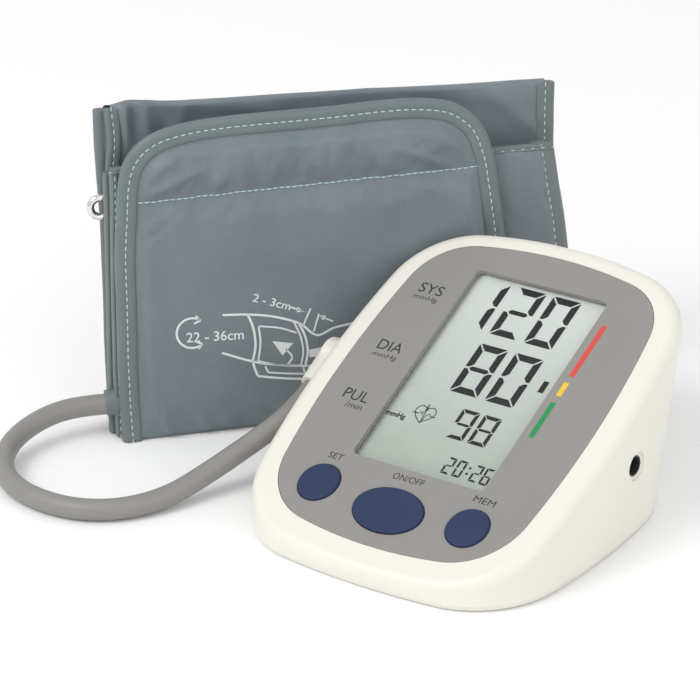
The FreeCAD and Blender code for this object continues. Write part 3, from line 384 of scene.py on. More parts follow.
def binding(name, line, front, back, wide, stitch, seed, stands_for=(), lift=0.5):
    """A folded tape round an edge. line is the cloth's edge, front and back the depths of
    its two faces, which may vary along it, and stitch the seam's distance from the edge.
    """
    count = len(line)
    front, back = np.full(count, 1.0) * front, np.full(count, 1.0) * back
    run_to = np.arange(count) * np.linalg.norm(line[1] - line[0])
    wave = ripple(run_to, seed, 14, 3) * 0.16
    inner = ripple(run_to, seed + 1, 18, 2) * 0.22
    puff = lift * (1 + 0.22 * ripple(run_to, seed + 2, 7, 3))
    half, middle = 0.5 * (back - front), 0.5 * (back + front)
    profile = [(wide, "front", -0.5), (wide + 0.02, "front", 0.35), (wide - 0.35, "front", 0.8),
               (0.5 * (wide + stitch), "front", 0.95), (stitch + 0.35, "front", 0.85),
               (stitch, "front", 0.6), (stitch - 0.35, "front", 0.85),
               (0.55 * stitch, "front", 1.05), (0.24 * stitch, "front", 0.85),
               (0.0, "edge", -0.75), (-0.4, "edge", 0.0), (0.0, "edge", 0.75),
               (0.24 * stitch, "back", 0.85), (0.55 * stitch, "back", 1.0),
               (wide - 0.35, "back", 0.8), (wide, "back", 0.35), (wide, "back", -0.5)]
    way = along(line)
    sideways = np.stack([way[:, 1], -way[:, 0]], 1)
    rings = []
    for w, side, amount in profile:
        shift = wave + (inner if w >= wide - 0.4 else 0)
        flat = line + sideways * (w + shift)[:, None]
        depth = {"front": front - puff * amount, "back": back + puff * amount,
                 "edge": middle + half * amount}[side]
        rings.append(np.stack([flat[:, 0], depth, flat[:, 1]], 1))
    points = np.stack(rings, 1).reshape(-1, 3)
    sides = len(profile)
    faces = [f[::-1] for f in grid_faces(count, sides, closed=True)]
    faces += [tuple(range(sides)), tuple(range((count - 1) * sides, count * sides))[::-1]]
    piece = new_piece(name, points, faces, CUFF, "cuff", "cuff_binding", stands_for)
    seam = line + sideways * (stitch + wave)[:, None]
    sewn = np.stack([seam[:, 0], front - puff * 0.62, seam[:, 1]], 1)
    return piece, sewn


def stitches(name, line, pitch, long, thick):
    """A row of short raised threads along a line in the cuff frame."""
    line = spaced(np.asarray(line), step=pitch)
    way = along(line)
    random.seed(len(line))
    points, faces = [], []
    for centre, forward in zip(line, way):
        side = np.cross(forward, (0, 1, 0))
        side /= np.linalg.norm(side)
        out = np.cross(side, forward)
        out *= -1 if out[1] > 0 else 1
        reach = 0.5 * long * random.uniform(0.88, 1.06)
        skew = random.uniform(-0.06, 0.06)
        start = len(points)
        for share, girth, rise in ((-1, 0.35, -0.12), (-0.72, 0.9, 0.06), (0, 1, 0.14),
                                   (0.72, 0.9, 0.06), (1, 0.35, -0.12)):
            middle = centre + forward * share * reach + side * share * skew + out * rise
            for k in range(6):
                turn = k * math.pi / 3
                points.append(middle + 0.5 * thick * girth * (
                    side * math.cos(turn) + out * math.sin(turn)))
        faces += grid_faces(5, 6, start, True)
        faces += [tuple(range(start, start + 6))[::-1], tuple(range(start + 24, start + 30))]
    return new_piece(name, points, faces, CUFF, "cuff", "cuff_binding",
                     material=MATERIALS["thread"])


# ---- cuff --------------------------------------------------------------------------

FLAP_EDGE = [(-2.2, 0.5), (-1.9, 15), (-1.1, 32), (0.0, 50), (0.9, 65), (2.6, 78),
             (3.9, 88), (5.7, 95), (9.2, 100.6), (15.2, 104.9), (24, 107.3), (37, 108.4),
             (55, 108.5), (74, 108.2), (90, 108.4), (102, 107.9), (112.5, 105.8),
             (119.4, 101.4), (123.6, 96), (126, 89), (127.3, 82), (128.8, 62), (129.8, 40),
             (130.6, 18), (131.0, 0.5)]
MIDDLE_LEFT = [(-4.0, 1.3), (-3.0, 22), (-1.2, 50), (0.3, 70), (1.6, 86), (2.0, 93.5)]
MIDDLE_RIGHT = [(147.2, 86.6), (148.6, 74), (150.4, 55), (151.6, 30), (152.2, 1.3)]
REAR_LEFT = [(-5.9, 1.2), (-4.9, 20), (-3.0, 45), (-1.6, 66), (-0.4, 84), (0.0, 91.5)]
BACK_LEFT = [(-4.4, 2.0), (-2.6, 30), (-0.6, 62), (1.2, 88), (2.6, 100), (2.5, 110.6)]
BACK_RIGHT = [(151.0, 103.2), (150.2, 90), (149.6, 70), (150.6, 40), (151.6, 2.0)]
LAST_LEFT = [(-5.4, 2.0), (-4.4, 25), (-3.2, 44), (-1.9, 70), (-1.6, 88), (-1.3, 98),
             (-0.7, 110.0)]
SEAM_T, SEAM_FROM, SEAM_TO = 83.1, 8.5, 121.6
# how deep each length of the folded cuff lies, front and rear
FLAP_FRONT, FLAP_BACK = 0.4, 3.0
MIDDLE_FRONT, MIDDLE_BACK = 4.2, 7.2
REAR_FRONT, REAR_BACK = 8.1, 11.2
PILE_DEPTH, PILE_BORDER = 21.25, 2.6
# sewing: how far apart the stitches are
PITCH = 2.65
# the tube port's axis in the cuff frame
PORT_DEPTH, PORT_T = 7.7, 12.3


def over(points, flat):
    """Points on a surface's front at the given (s, t), as (s, d, t)."""
    found = []
    for s, t in flat:
        hit = points.ray_cast(Vector((s, -30, t)), Vector((0, 1, 0)))[0]
        found.append((s, hit.y if hit else 0.0, t))
    return np.array(found)


def surface_of(piece):
    """A finished piece's own surface, in its own frame, to lay prints and seams on."""
    bpy.context.view_layer.update()
    ready = piece.evaluated_get(bpy.context.evaluated_depsgraph_get()).to_mesh()
    tree = BVHTree.FromPolygons([v.co.copy() for v in ready.vertices],
                                [tuple(p.vertices) for p in ready.polygons])
    return tree


def finer(piece, levels=1):
    smoother = piece.modifiers.new("finer", "SUBSURF")
    smoother.levels = smoother.render_levels = levels
    return piece


def beyond_tape(edge, s, t, wide, ramp):
    """From 0 under a tape round an edge to 1 well inside it, for each point of a sheet."""
    flat = np.stack([s, t], -1).reshape(-1, 2)
    gap = np.sqrt(((flat[:, None] - edge[None, ::2]) ** 2).sum(-1).min(1)).reshape(s.shape)
    share = np.clip((gap - wide) / ramp, 0, 1)
    return share * share * (3 - 2 * share)


def closed_sheet(name, front, rear_depth, roll, stands_for=(), slot="cuff_cloth"):
    """Front cloth, a rolled bottom fold and a flat rear face, as one closed strip."""
    first = front[0]
    centre_d, half = 0.5 * (first[:, 1] + rear_depth), 0.5 * (rear_depth - first[:, 1])
    rows = []
    rear = front[::6].copy()
    rear[..., 1] = rear_depth
    rows += list(rear[::-1][:-1])
    for turn in np.linspace(0, math.pi, 9):
        row = first.copy()
        row[:, 1] = centre_d + half * math.cos(turn)
        row[:, 2] = first[:, 2] - roll * math.sin(turn)
        rows.append(row)
    rows += list(front[1:])
    points = np.concatenate(rows)
    faces = grid_faces(len(rows), front.shape[1])
    return finer(new_piece(name, points, faces, CUFF, "cuff", slot, stands_for))


def make_flap():
    """The free end that lies over the rest: rounded, bound and sewn across."""
    edge = smooth_line(FLAP_EDGE, 0.8)
    inner = inset(edge, 3.4)
    top_from = np.flatnonzero(edge[:, 0] > 36)[0]
    top_to = np.flatnonzero((edge[:, 0] > 100) & (edge[:, 1] > 90))[0]
    grid = rows_between(inner[:top_from], inner[top_to:][::-1], 84, 88, 0.45)
    grid[0, :, 2] = 2.1
    s, t = grid[..., 0], grid[..., 2]
    seam = np.zeros(s.shape, bool)
    for column in range(s.shape[1]):
        nearest = int(np.abs(t[:, column] - SEAM_T).argmin())
        if SEAM_FROM < s[nearest, column] < SEAM_TO:
            seam[nearest, column] = True
    wobble = ripple(s, 5, 3.0, 2) * 0.22
    grid[seam, 2] = (SEAM_T + wobble)[seam]
    grid[seam, 1] = 0.75
    pinned = np.zeros(s.shape, bool)
    pinned[0], pinned[-1], pinned[:, 0], pinned[:, -1] = True, True, True, True
    pinned[:, 1] = pinned[:, -2] = pinned[-2] = True
    pinned |= seam
    u = np.linspace(0, 1, s.shape[1])[None, :]
    dome = np.clip(4 * u * (1 - u), 0, 1) ** 0.5
    lower = np.clip(np.sin(np.clip(t / SEAM_T, 0, 1) * math.pi), 0, 1) ** 0.5
    upper = np.clip(np.sin(np.clip((t - SEAM_T) / 22, 0, 1) * math.pi), 0, 1) ** 0.5
    grid[..., 1] -= np.where(pinned, 0, dome * (0.9 * lower + 1.2 * upper))
    creases = (((2, 46), (27, 0), 2.2, 2.3), ((3, 32), (15, -3), 1.6, 1.8),
               ((10, 56), (32, 12), 3.0, 1.3), ((22, 24), (34, 0), 2.0, 1.1),
               ((8, 90), (24, 100), 2.0, 1.9), ((13, 85), (32, 93), 1.5, 1.2),
               ((98, 101), (124, 88), 1.8, 2.0), ((95, 93), (113, 84), 1.4, 1.5),
               ((84, 99), (92, 84), 1.6, 1.3), ((103, 91), (123, 96), 1.4, 1.2),
               ((42, 100), (36, 85), 1.7, 1.2), ((60, 101), (70, 87), 2.0, 1.1),
               ((100, 81), (124, 64), 2.0, 1.6), ((106, 81), (119, 52), 2.6, 1.0),
               ((19, 82), (37, 58), 2.4, 1.1), ((60, 82), (67, 56), 3.0, 1.0),
               ((44, 82), (50, 62), 2.6, 0.8), ((82, 82), (90, 60), 2.8, 0.9))
    grid = simulate(grid, pinned, 0.028, 3.0, 0.35, 26, 2.2, 11)
    for crease in creases:
        ridge = grid.copy()
        fold(ridge, *crease)
        grid = np.where(pinned[..., None], grid, ridge)
    grid[..., 1] = np.maximum(grid[..., 1], 0.5 - 2.9 * beyond_tape(edge, s, t, 6.6, 5.0))
    flap = closed_sheet("cuff_flap", grid, FLAP_BACK, 1.7, ("cuff_front_panel", "hook_patch"))
    _, sewn = binding("cuff_flap_binding", edge, FLAP_FRONT, FLAP_BACK, 6.1, 3.1, 21,
                         ("cuff_front_binding",))
    stitches("cuff_flap_stitches", sewn, 2.5, 1.85, 0.46)
    skin = surface_of(flap)
    line = np.stack([np.arange(SEAM_FROM, SEAM_TO, 0.5)] * 2, 1)
    line[:, 1] = SEAM_T + ripple(line[:, 0], 5, 3.0, 2) * 0.22
    sewn = over(skin, line)
    sewn[:, 1] -= 0.1
    stitches("cuff_cross_stitches", sewn, 2.1, 1.95, 0.5)
    return skin


def make_middle():
    """The padded length behind the flap, with a hemmed top and two rolled left edges."""
    left, right = smooth_line(MIDDLE_LEFT, 0.8), smooth_line(MIDDLE_RIGHT, 0.8)
    top = np.stack([np.linspace(2.0, 147.2, 180), np.linspace(93.5, 86.6, 180)], 1)
    top[:, 1] += 0.5 * ripple(top[:, 0], 31, 22, 3) + 1.2 * np.exp(
        -((top[:, 0] - 10) / 12) ** 2)
    grid = rows_between(inset(left, 1.0), inset(right, 3.0)[::-1], 62, 72, 4.3)
    grid[0, :, 2] = 2.3
    blend_top = np.linspace(0, 1, grid.shape[0])[:, None] ** 6
    grid[..., 2] += blend_top * (np.interp(grid[-1, :, 0], top[:, 0], top[:, 1])[None]
                                 - 0.9 - grid[-1, :, 2][None])
    pinned = np.zeros(grid.shape[:2], bool)
    pinned[0], pinned[-1], pinned[:, 0], pinned[:, -1] = True, True, True, True
    grid = simulate(grid, pinned, 0.02, 1.5, 0.4, 22, 1.4, 12)
    for crease in (((129, 86), (138, 56), 2.0, 1.6), ((143, 85), (138, 48), 1.6, 1.4),
                   ((127, 66), (146, 46), 1.8, 1.4), ((132, 87), (147, 75), 1.5, 1.2),
                   ((132, 52), (147, 60), 1.4, 0.9), ((133, 40), (147, 20), 2.4, 1.1)):
        ridge = grid.copy()
        fold(ridge, *crease)
        grid = np.where(pinned[..., None], grid, ridge)
    grid[..., 1] = np.maximum(grid[..., 1], np.where(grid[..., 0] > 130, 3.3, 3.75))
    middle = closed_sheet("cuff_middle_cloth", grid, 7.4, 1.4,
                          ("cuff_middle_panel", "cuff_bladder"))
    _, sewn = binding("cuff_middle_left_binding", left, MIDDLE_FRONT, MIDDLE_BACK, 2.4, 1.3,
                      33, ("cuff_middle_binding",), 0.35)
    stitches("cuff_middle_left_stitches", sewn, PITCH, 1.75, 0.42)
    _, sewn = binding("cuff_middle_right_binding", right, MIDDLE_FRONT, MIDDLE_BACK, 6.0,
                      3.9, 36)
    stitches("cuff_middle_right_stitches", sewn, PITCH, 1.75, 0.46)
    _, sewn = binding("cuff_middle_hem", top, 4.0, 6.4, 1.9, 0.95, 39, (), 0.4)
    stitches("cuff_middle_hem_stitches", sewn, 3.4, 1.3, 0.36)

    rear_left = smooth_line(REAR_LEFT, 0.8)
    rear_right = inset(smooth_line(MIDDLE_RIGHT, 0.8), 1.4)
    rear = rows_between(inset(rear_left, 1.2), inset(rear_right, 1.5)[::-1], 40, 40, 8.3)
    rear[..., 2] -= np.linspace(0, 1, 40)[:, None] ** 3 * 1.0
    rear[0, :, 2] = 2.8
    rear[..., 1] += 0.3 * ripple(rear[..., 0] * 0.6 + rear[..., 2], 44, 16, 2)
    closed_sheet("cuff_rear_cloth", rear, 11.0, 1.3)
    binding("cuff_rear_left_binding", rear_left, REAR_FRONT, REAR_BACK, 2.6, 1.4, 45, (), 0.35)
    binding("cuff_rear_right_binding", rear_right, REAR_FRONT, REAR_BACK, 5.0, 3.0, 48, (),
            0.35)


def make_back():
    """The rear length, folded over at its top; the fastening pile behind it is made by
    make_loop_pile.
    """
    left, right = smooth_line(BACK_LEFT, 0.8), smooth_line(BACK_RIGHT, 0.8)
    grid = rows_between(inset(left, 3.0), inset(right, 3.0)[::-1], 70, 76, 16.6)
    last = rows_between(inset(smooth_line(LAST_LEFT, 0.8), 3.0),
                        inset(right, 3.0)[::-1], 70, 76, 20.8)
    high = grid[-1, :, 2] + 1.2 + 0.35 * ripple(grid[-1, :, 0], 51, 30, 3)
    high += 1.0 * np.exp(-((grid[-1, :, 0] - 14) / 6) ** 2)
    high -= 0.7 * np.exp(-((grid[-1, :, 0] - 6.5) / 2.2) ** 2)
    for a, b, width, height in (
            ((8.5, 113), (11.5, 90), 1.4, 2.1), ((12.4, 112), (9, 84), 1.0, -1.6),
            ((15.5, 114), (17, 88), 1.7, 1.5), ((20, 112), (60, 104), 3.0, 0.8),
            ((19.5, 112), (22, 96), 1.2, -0.9), ((30, 112), (24, 98), 1.8, 0.8),
            ((100, 107), (148, 98), 3.5, 0.5), ((128, 104), (146, 86), 3.0, 0.7),
            ((60, 108), (110, 106), 2.5, -0.4)):
        fold(grid, a, b, width, height)
    grid[..., 1] += 0.25 * ripple(grid[..., 0] + 0.7 * grid[..., 2], 52, 24, 2)
    last[..., 1] += 0.4 * ripple(last[..., 0] - 0.5 * last[..., 2], 53, 30, 2)
    rows = list(grid)
    for turn in np.linspace(0, math.pi, 9)[1:-1]:
        share = 0.5 - 0.5 * math.cos(turn)
        row = (1 - share) * grid[-1] + share * last[-1]
        row[:, 2] += (high - row[:, 2]) * math.sin(turn)
        rows.append(row)
    rows += list(last[::-1])
    points = np.concatenate(rows)
    cloth = finer(new_piece("cuff_back_cloth", points, grid_faces(len(rows), grid.shape[1]),
                            CUFF, "cuff", "cuff_cloth", ("cuff_back_panel",)))
    _, sewn = binding("cuff_back_left_binding", left, 16.5, 18.0, 4.4, 2.2, 54,
                      ("cuff_back_binding",), 0.45)
    stitches("cuff_back_left_stitches", sewn, PITCH, 1.75, 0.44)
    binding("cuff_last_left_binding", smooth_line(LAST_LEFT, 0.8), 19.2, 21.0, 5.0, 3.0, 57)
    _, sewn = binding("cuff_back_right_binding", right, 16.4, 20.9, 6.0, 3.2, 60)
    stitches("cuff_back_right_stitches", sewn, PITCH, 1.75, 0.46)


def make_ring_tab():
    """The short tab that loops round the ring's upper bar and is sewn to the rear length."""
    section = [(13.0, 94.0), (12.3, 90.0), (11.8, 84.0)]
    section += [(14 - 2.2 * math.cos(a), 82.6 - 2.2 * math.sin(a))
                for a in np.linspace(0, math.pi, 9)]
    section += [(16.2, 84.0), (15.4, 90.0), (14.6, 94.0)]
    across = np.linspace(12, 114, 60)
    sides = len(section)
    points = [(s, d + 0.15 * math.sin(0.5 * s + t), t + 0.25 * math.sin(0.31 * s))
              for s in across for d, t in section]
    faces = grid_faces(len(across), sides, closed=True)
    faces += [tuple(range(sides)), tuple(range(len(points) - sides, len(points)))[::-1]]
    tab = new_piece("cuff_ring_tab_cloth", points, faces, CUFF, "cuff", "tab_cloth",
                    ("cuff_ring_tab",))
    for number, t in enumerate((90.6, 92.4)):
        line = np.array([(s, 12.1 + 0.15 * math.sin(0.5 * s + t), t) for s in across[1:-1]])
        stitches("cuff_tab_stitches_%d" % number, line, PITCH, 1.7, 0.4)


def make_loop_pile():
    """The fastening pile behind, raised a little, with a sewn border."""
    rows, columns = 90, 130
    s, t = np.meshgrid(np.linspace(12.5, 133.5, columns), np.linspace(10.5, 91.5, rows))
    gap = np.minimum(np.minimum(s - 12.5, 133.5 - s), np.minimum(t - 10.5, 91.5 - t))
    raised = 1 - np.exp(-gap / 0.9)
    groove = np.exp(-((gap - PILE_BORDER) / 0.7) ** 2)
    rng = np.random.default_rng(71)
    depth = PILE_DEPTH + 0.45 * raised - 0.3 * groove + 0.25 * ripple(s + 0.8 * t, 72, 26, 2)
    depth += rng.uniform(-0.07, 0.07, s.shape) * raised
    points = np.stack([s, depth, t], 2).reshape(-1, 3)
    faces = [f[::-1] for f in grid_faces(rows, columns)]
    rim = ([i for i in range(columns)] + [j * columns + columns - 1 for j in range(1, rows)]
           + [(rows - 1) * columns + i for i in range(columns - 2, -1, -1)]
           + [j * columns for j in range(rows - 2, 0, -1)])
    under = points[rim].copy()
    under[:, 1] = 20.4
    count, start = len(rim), len(points)
    faces += [(rim[k], start + k, start + (k + 1) % count, rim[(k + 1) % count])[::-1]
              for k in range(count)]
    faces.append(tuple(range(start, start + count)))
    pile_piece = new_piece("cuff_loop_pile", np.concatenate([points, under]), faces, CUFF,
                           "cuff", "loop", ("loop_patch",))
    corners = [(15.1, 13.1), (130.9, 13.1), (130.9, 88.9), (15.1, 88.9), (15.1, 13.1)]
    for number, (a, b) in enumerate(zip(corners, corners[1:])):
        u = np.linspace(0.01, 0.99, 120)[:, None]
        flat = np.array(a) * (1 - u) + np.array(b) * u
        lift = PILE_DEPTH + 0.3 + 0.25 * ripple(flat[:, 0] + 0.8 * flat[:, 1], 72, 26, 2)
        stitches("cuff_loop_stitches_%d" % number,
                 np.stack([flat[:, 0], lift, flat[:, 1]], 1), PITCH, 1.8, 0.42)


def make_port_sleeve():
    """The short cloth sleeve in the cuff's edge that the air tube goes into."""
    along_port = ((-6.6, 3.62), (-6.9, 3.95), (-6.6, 4.3), (-5.6, 4.35), (-4.2, 4.5),
                  (-2.6, 4.9), (-1.0, 5.3), (1.5, 5.2), (1.5, 3.0))
    sides, points = 36, []
    for s, radius in along_port:
        for k in range(sides):
            turn = 2 * math.pi * k / sides
            crumple = 1 + 0.03 * math.sin(5 * turn + 0.9 * s) * min(1, max(0, radius - 3.7))
            points.append((s, PORT_DEPTH + radius * crumple * math.cos(turn),
                           PORT_T + radius * crumple * math.sin(turn)))
    faces = grid_faces(len(along_port), sides, closed=True)
    faces += [tuple(range(sides))[::-1],
              tuple(range((len(along_port) - 1) * sides, len(along_port) * sides))]
    finer(new_piece("cuff_port_sleeve", points, faces, CUFF, "cuff", "cuff_binding",
                    ("tube_port",)))


# ---- lettering and printed shapes --------------------------------------------------

def ribbon(line, wide):
    """A flat strip along a 2D line, as (points, faces)."""
    line = np.array(line, float)
    way = along(line)
    sideways = 0.5 * wide * np.stack([-way[:, 1], way[:, 0]], 1)
    points = np.stack([line + sideways, line - sideways], 1).reshape(-1, 2)
    faces = [(2 * i, 2 * i + 1, 2 * i + 3, 2 * i + 2) for i in range(len(line) - 1)]
    return points, faces


def patch(corners):
    return np.array(corners, float), [tuple(range(len(corners)))]


def lettering(text, x, y, wide, tall, turn=0.0, weight=0.0):
    """Flat letters whose baseline starts at a point, as (points, faces)."""
    curve = bpy.data.curves.new("letters", "FONT")
    curve.body, curve.offset = text, weight
    curve.resolution_u = 4
    letters = bpy.data.objects.new("letters", curve)
    mesh = bpy.data.meshes.new_from_object(letters)
    points = np.array([v.co[:2] for v in mesh.vertices])
    faces = [tuple(p.vertices) for p in mesh.polygons]
    bpy.data.meshes.remove(mesh)
    bpy.data.objects.remove(letters)
    points[:, 0] -= points[:, 0].min()
    points *= (wide / points[:, 0].max(), tall / points[:, 1].max())
    turn = math.radians(turn)
    spin = np.array([[math.cos(turn), math.sin(turn)], [-math.sin(turn), math.cos(turn)]])
    return points @ spin + (x, y), faces


def joined(shapes):
    """Several (points, faces) as one."""
    points, faces, count = [], [], 0
    for some, their in shapes:
        points.append(some)
        faces += [tuple(i + count for i in f) for f in their]
        count += len(some)
    return np.concatenate(points), faces


def on_face(name, shapes, height, slot, material):
    """Flat shapes in the face frame, a height above the face's own plane."""
    points, faces = joined(shapes)
    points = np.column_stack([points, np.full(len(points), height)])
    mesh = bpy.data.meshes.new("probe")
    mesh.from_pydata([tuple(p) for p in points], [], faces)
    faces = [f if p.normal.z > 0 else f[::-1] for f, p in zip(faces, mesh.polygons)]
    bpy.data.meshes.remove(mesh)
    return new_piece(name, points, faces, FACE, "monitor", slot, (), False, material)


def on_flap(name, shapes, skin):
    points, faces = joined(shapes)
    points = over(skin, points)
    points[:, 1] -= 0.16
    return new_piece(name, points, faces, CUFF, "cuff", "cuff_cloth", (), False,
                     MATERIALS["ink"])


# ---- display -----------------------------------------------------------------------

# heights above the face's plane, and the coloured bars' width
PRINT_HEIGHT, SEGMENT_HEIGHT, BAR_WIDTH = -0.07, -2.755, 1.85
SEGMENTS = {"0": "abcdef", "1": "bc", "2": "abdeg", "6": "acdefg", "8": "abcdefg",
            "9": "abcdfg"}


def digit(sign, x, y, wide, tall, bar):
    """A seven-segment digit's bars, mitred where they meet, from its low left corner."""
    gap = 0.16 * bar
    right, top, middle = x + wide, y + tall, y + 0.5 * tall
    bars = {
        "a": [(x + gap, top), (right - gap, top), (right - bar - gap, top - bar),
              (x + bar + gap, top - bar)],
        "b": [(right, top - gap), (right, middle + gap), (right - 0.5 * bar, middle + gap),
              (right - bar, middle + 0.5 * bar + gap), (right - bar, top - bar - gap)],
        "g": [(x + 0.5 * bar + gap, middle), (x + bar, middle + 0.5 * bar - gap),
              (right - bar, middle + 0.5 * bar - gap), (right - 0.5 * bar - gap, middle),
              (right - bar, middle - 0.5 * bar + gap), (x + bar, middle - 0.5 * bar + gap)],
    }
    across = [(x + right - px, py) for px, py in bars["b"]]
    bars["f"] = across
    bars["c"] = [(px, 2 * middle - py) for px, py in bars["b"]]
    bars["e"] = [(px, 2 * middle - py) for px, py in across]
    bars["d"] = [(px, 2 * middle - py) for px, py in bars["a"]]
    return [patch(bars[name]) for name in SEGMENTS[sign]]


def circle_line(x, y, radius, start, end, count=40):
    turns = np.radians(np.linspace(start, end, count))
    return np.stack([x + radius * np.cos(turns), y + radius * np.sin(turns)], 1)


def make_display():
    shapes = []
    for text, lefts, low, wide, tall, bar in (
            ("120", (-22.3, -8.6, 4.7), 18.5, 10.6, 20.0, 2.5),
            ("80", (-8.8, 4.7), -6.0, 10.7, 20.1, 2.5),
            ("98", (0.0, 8.2), -22.6, 6.6, 11.6, 1.35),
            ("2026", (6.0, 10.1, 16.4, 20.3), -35.5, 3.1, 6.4, 0.75)):
        for sign, left in zip(text, lefts):
            shapes += digit(sign, left, low, wide, tall, bar)
    shapes.append(patch([(19.8, 2.2), (21.8, 2.2), (21.8, 6.8), (19.8, 6.8)]))
    for y in (-31.4, -33.6):
        shapes.append(patch([(14.4, y), (15.2, y), (15.2, y + 0.8), (14.4, y + 0.8)]))
    shapes.append(lettering("mmHg", -24.2, -20.8, 7.3, 1.9, 0, 0.03))
    heart = smooth_line([(-11.5, -20.4), (-14.3, -18.0), (-15.2, -15.8), (-13.9, -14.0),
                         (-12.1, -14.4), (-11.5, -15.6), (-10.9, -14.4), (-9.1, -14.0),
                         (-7.8, -15.8), (-8.7, -18.0), (-11.5, -20.4)], 0.3)
    pulse = [(-15.7, -17.2), (-13.6, -17.2), (-12.9, -16.2), (-12.3, -17.4), (-11.7, -13.0),
             (-11.1, -20.6), (-10.5, -17.2), (-9.6, -16.4), (-9.1, -17.2), (-7.2, -17.2)]
    shapes += [ribbon(heart, 0.3), ribbon(pulse, 0.34)]
    on_face("display_segments", shapes, SEGMENT_HEIGHT, "display", MATERIALS["segment"])


def make_captions():
    shapes = [lettering("SYS", -40.0, 25.4, 9.2, 3.9),
              lettering("mmHg", -40.0, 22.6, 9.2, 1.75),
              lettering("DIA", -40.4, 0.2, 9.2, 4.0),
              lettering("mmHg", -40.3, -2.7, 9.3, 1.75),
              lettering("PUL", -40.5, -20.8, 9.5, 4.0),
              lettering("/min", -37.6, -23.9, 6.6, 2.3),
              lettering("SET", -31.3, -43.4, 5.4, 2.3, 1),
              lettering("ON/OFF", -6.0, -43.9, 11.5, 2.3, 1),
              lettering("MEM", 24.2, -43.3, 7.8, 2.3, -1)]
    on_face("panel_captions", shapes, PRINT_HEIGHT, "panel", MATERIALS["caption"])
    bars = (("red", 28.35, 9.2, 21.4), ("yellow", 28.25, 1.1, 5.6),
            ("green", 28.2, -16.0, 14.4))
    for name, left, low, tall in bars:
        right = left + BAR_WIDTH
        shape = patch([(left, low), (right, low), (right, low + tall), (left, low + tall)])
        on_face("scale_bar_" + name, [shape], PRINT_HEIGHT, "panel", MATERIALS[name])


def make_arm_print(skin):
    """The fitting diagram: an arm with the cuff on it, its size range and its distance."""
    thin, bold = 0.62, 0.8
    lines = [
        ([(33.7, 42.5), (42, 41.7), (50.3, 40), (58.7, 36.6), (64.2, 31.8), (70.3, 33.7),
          (78.7, 34.7), (84, 34.5)], bold),
        ([(32.5, 29.3), (42, 25.2), (48.7, 23.3), (56.2, 21.9), (62.8, 21.2), (70.3, 22),
          (79, 22.7)], bold),
        ([(42, 41.7), (43.5, 36.5), (43.7, 30.5), (42.4, 25.1)], bold),
        ([(42.4, 25.1), (42.9, 22.4), (43.7, 19.7)], bold),
        ([(43.7, 19.7), (52, 17.9), (61.2, 16.5)], bold),
        ([(61.2, 16.5), (62.2, 18.6), (60.7, 21.4)], bold),
        ([(58.4, 37), (60.3, 32), (60.8, 26.5), (59.7, 21.5)], bold),
        ([(57.0, 37.2), (58.8, 32), (59.3, 26.5), (58.2, 21.6)], thin),
        ([(45.3, 37.2), (52, 35.8), (57.6, 33.4)], thin),
        ([(45.3, 37.2), (45.4, 31), (44.2, 25.0)], thin),
        ([(44.2, 25.0), (50, 23.1), (57.3, 21.9)], thin),
        ([(46.4, 22.9), (47.2, 20.6)], thin),
        ([(47.2, 20.6), (53, 19.5), (59.3, 18.6)], thin),
        ([(59.3, 18.6), (59.0, 20.9)], thin),
        ([(53.6, 28.2), (55.5, 25), (53.2, 21.9)], thin),
        ([(56.4, 42.6), (60.4, 40.6)], 0.6), ([(62.8, 41.4), (59.8, 35.4)], 0.6),
        ([(65.4, 39.2), (63.3, 33.2)], 0.6), ([(69.9, 36.0), (65.9, 38.2)], 0.6),
        ([(24.9, 43.2), (26.4, 41.5)], 0.7), ([(26.4, 41.5), (24.2, 40.6)], 0.7),
        ([(24.3, 34.2), (26.4, 33.3)], 0.7), ([(26.4, 33.3), (25.0, 31.6)], 0.7),
    ]
    shapes = [ribbon(smooth_line(knots, 0.6), wide) for knots, wide in lines]
    shapes.append(ribbon(circle_line(23.4, 37.4, 5.2, 55, 305), 0.75))
    shapes += [patch([(49.4, 31.4), (52.4, 25.9), (56.2, 29.9)]),
               patch([(60.9, 40.4), (58.5, 42.5), (58.1, 40.6)]),
               patch([(65.3, 38.6), (67.8, 38.3), (66.7, 36.6)]),
               patch([(61.3, 26.9), (61.3, 24.2), (70.6, 24.4), (70.6, 28.0)]),
               lettering("22 - 36cm", 21.2, 34.4, 18.9, 3.4, -3.4, 0.012),
               lettering("2 - 3cm", 43.7, 46.2, 13.0, 2.8, -21, 0.012)]
    on_flap("cuff_fitting_print", shapes, skin)


# ---- air tube ----------------------------------------------------------------------

TUBE_ROUTE = [
    (-0.1302, -0.0202, 0.0115), (-0.1387, -0.0262, 0.0110), (-0.1451, -0.0357, 0.0095),
    (-0.1473, -0.0476, 0.0070), (-0.1434, -0.0589, 0.0050), (-0.1338, -0.0678, 0.0039),
    (-0.1185, -0.0726, 0.0037), (-0.1010, -0.0716, 0.0037), (-0.0878, -0.0636, 0.0037),
    (-0.0798, -0.0500, 0.0042), (-0.0754, -0.0350, 0.0075), (-0.0688, -0.0200, 0.0135),
    (-0.0622, -0.0066, 0.0201), (-0.0622, 0.0045, 0.0248),
]
TUBE_RADIUS = 0.0035
run = bpy.data.curves.new("air_tube_run", "CURVE")
run.dimensions = "3D"
run.bevel_depth = TUBE_RADIUS
run.bevel_resolution = 7
run.resolution_u = 16
run.use_fill_caps = True
spline = run.splines.new("NURBS")
spline.points.add(len(TUBE_ROUTE) - 1)
for point, (x, y, z) in zip(spline.points, TUBE_ROUTE):
    point.co = (x, y, z, 1)
spline.order_u = 3
spline.use_endpoint_u = True
tube = bpy.data.objects.new("air_tube_run", run)
bpy.context.scene.collection.objects.link(tube)
run.materials.append(MATERIALS["tube_rubber"])
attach(tube, "cuff")
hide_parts("air_tube")

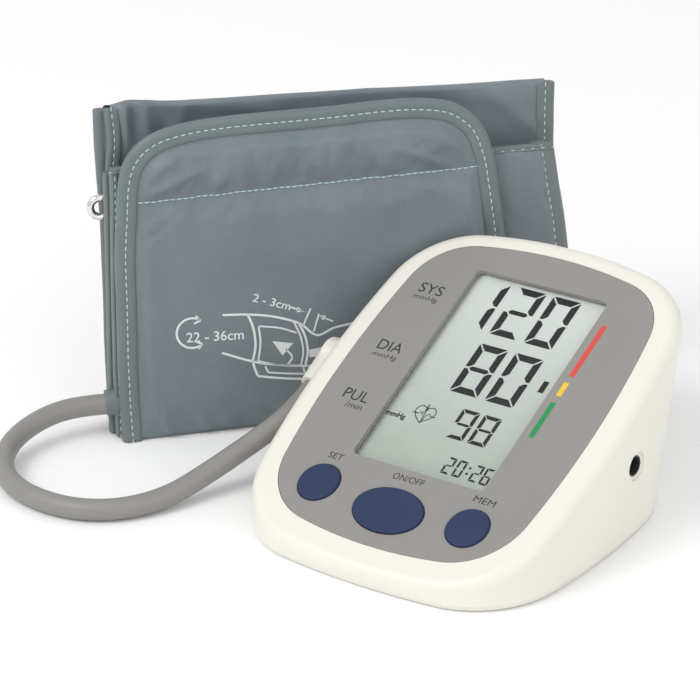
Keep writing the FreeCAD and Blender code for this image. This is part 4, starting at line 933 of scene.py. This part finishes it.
# ---- camera, floor and light -------------------------------------------------------

def make_camera():
    right = Vector((0.794586, 0.604837, -0.052969))
    up = Vector((-0.22456, 0.373818, 0.899907))
    back = Vector((0.564098, -0.703159, 0.432852))
    data = bpy.data.cameras.new("camera")
    data.lens, data.sensor_width = 173.98, 36.0
    data.clip_start, data.clip_end = 0.05, 50.0
    camera = bpy.data.objects.new("camera", data)
    bpy.context.scene.collection.objects.link(camera)
    turn = Matrix((right, up, back)).transposed().to_4x4()
    camera.matrix_world = Matrix.Translation((0.5627, -0.7544, 0.5092)) @ turn
    bpy.context.scene.camera = camera


def make_floor():
    half = 4.0
    mesh = bpy.data.meshes.new("floor")
    mesh.from_pydata([(-half, -half, 0), (half, -half, 0), (half, half, 0),
                      (-half, half, 0)], [], [(0, 1, 2, 3)])
    shade = Shade("floor_paper", (0.96, 0.96, 0.96), 0.9)
    shade.bump(shade.noise(0.003), 0.00005, 0.1)
    mesh.materials.append(shade.material)
    floor = bpy.data.objects.new("floor", mesh)
    bpy.context.scene.collection.objects.link(floor)


def make_light(name, place, aim, wide, power):
    data = bpy.data.lights.new(name, "AREA")
    data.energy, data.size = power, wide
    light = bpy.data.objects.new(name, data)
    bpy.context.scene.collection.objects.link(light)
    light.location = place
    light.rotation_euler = (Vector(place) - Vector(aim)).to_track_quat("Z", "Y").to_euler()


def make_world():
    world = bpy.data.worlds.new("studio")
    world.use_nodes = True
    world.node_tree.nodes["Background"].inputs["Color"].default_value = (1, 1, 1, 1)
    world.node_tree.nodes["Background"].inputs["Strength"].default_value = 0.80
    bpy.context.scene.world = world


make_display()
make_captions()
make_arm_print(make_flap())
make_middle()
make_back()
make_ring_tab()
make_loop_pile()
make_port_sleeve()
make_camera()
make_floor()
make_world()
make_light("key", (-0.5, -1.0, 1.25), (-0.05, 0, 0.04), 0.8, 9.5)
make_light("fill", (1.1, -0.5, 0.8), (-0.05, 0, 0.04), 1.2, 3.6)
bpy.context.scene.view_settings.view_transform = "Standard"
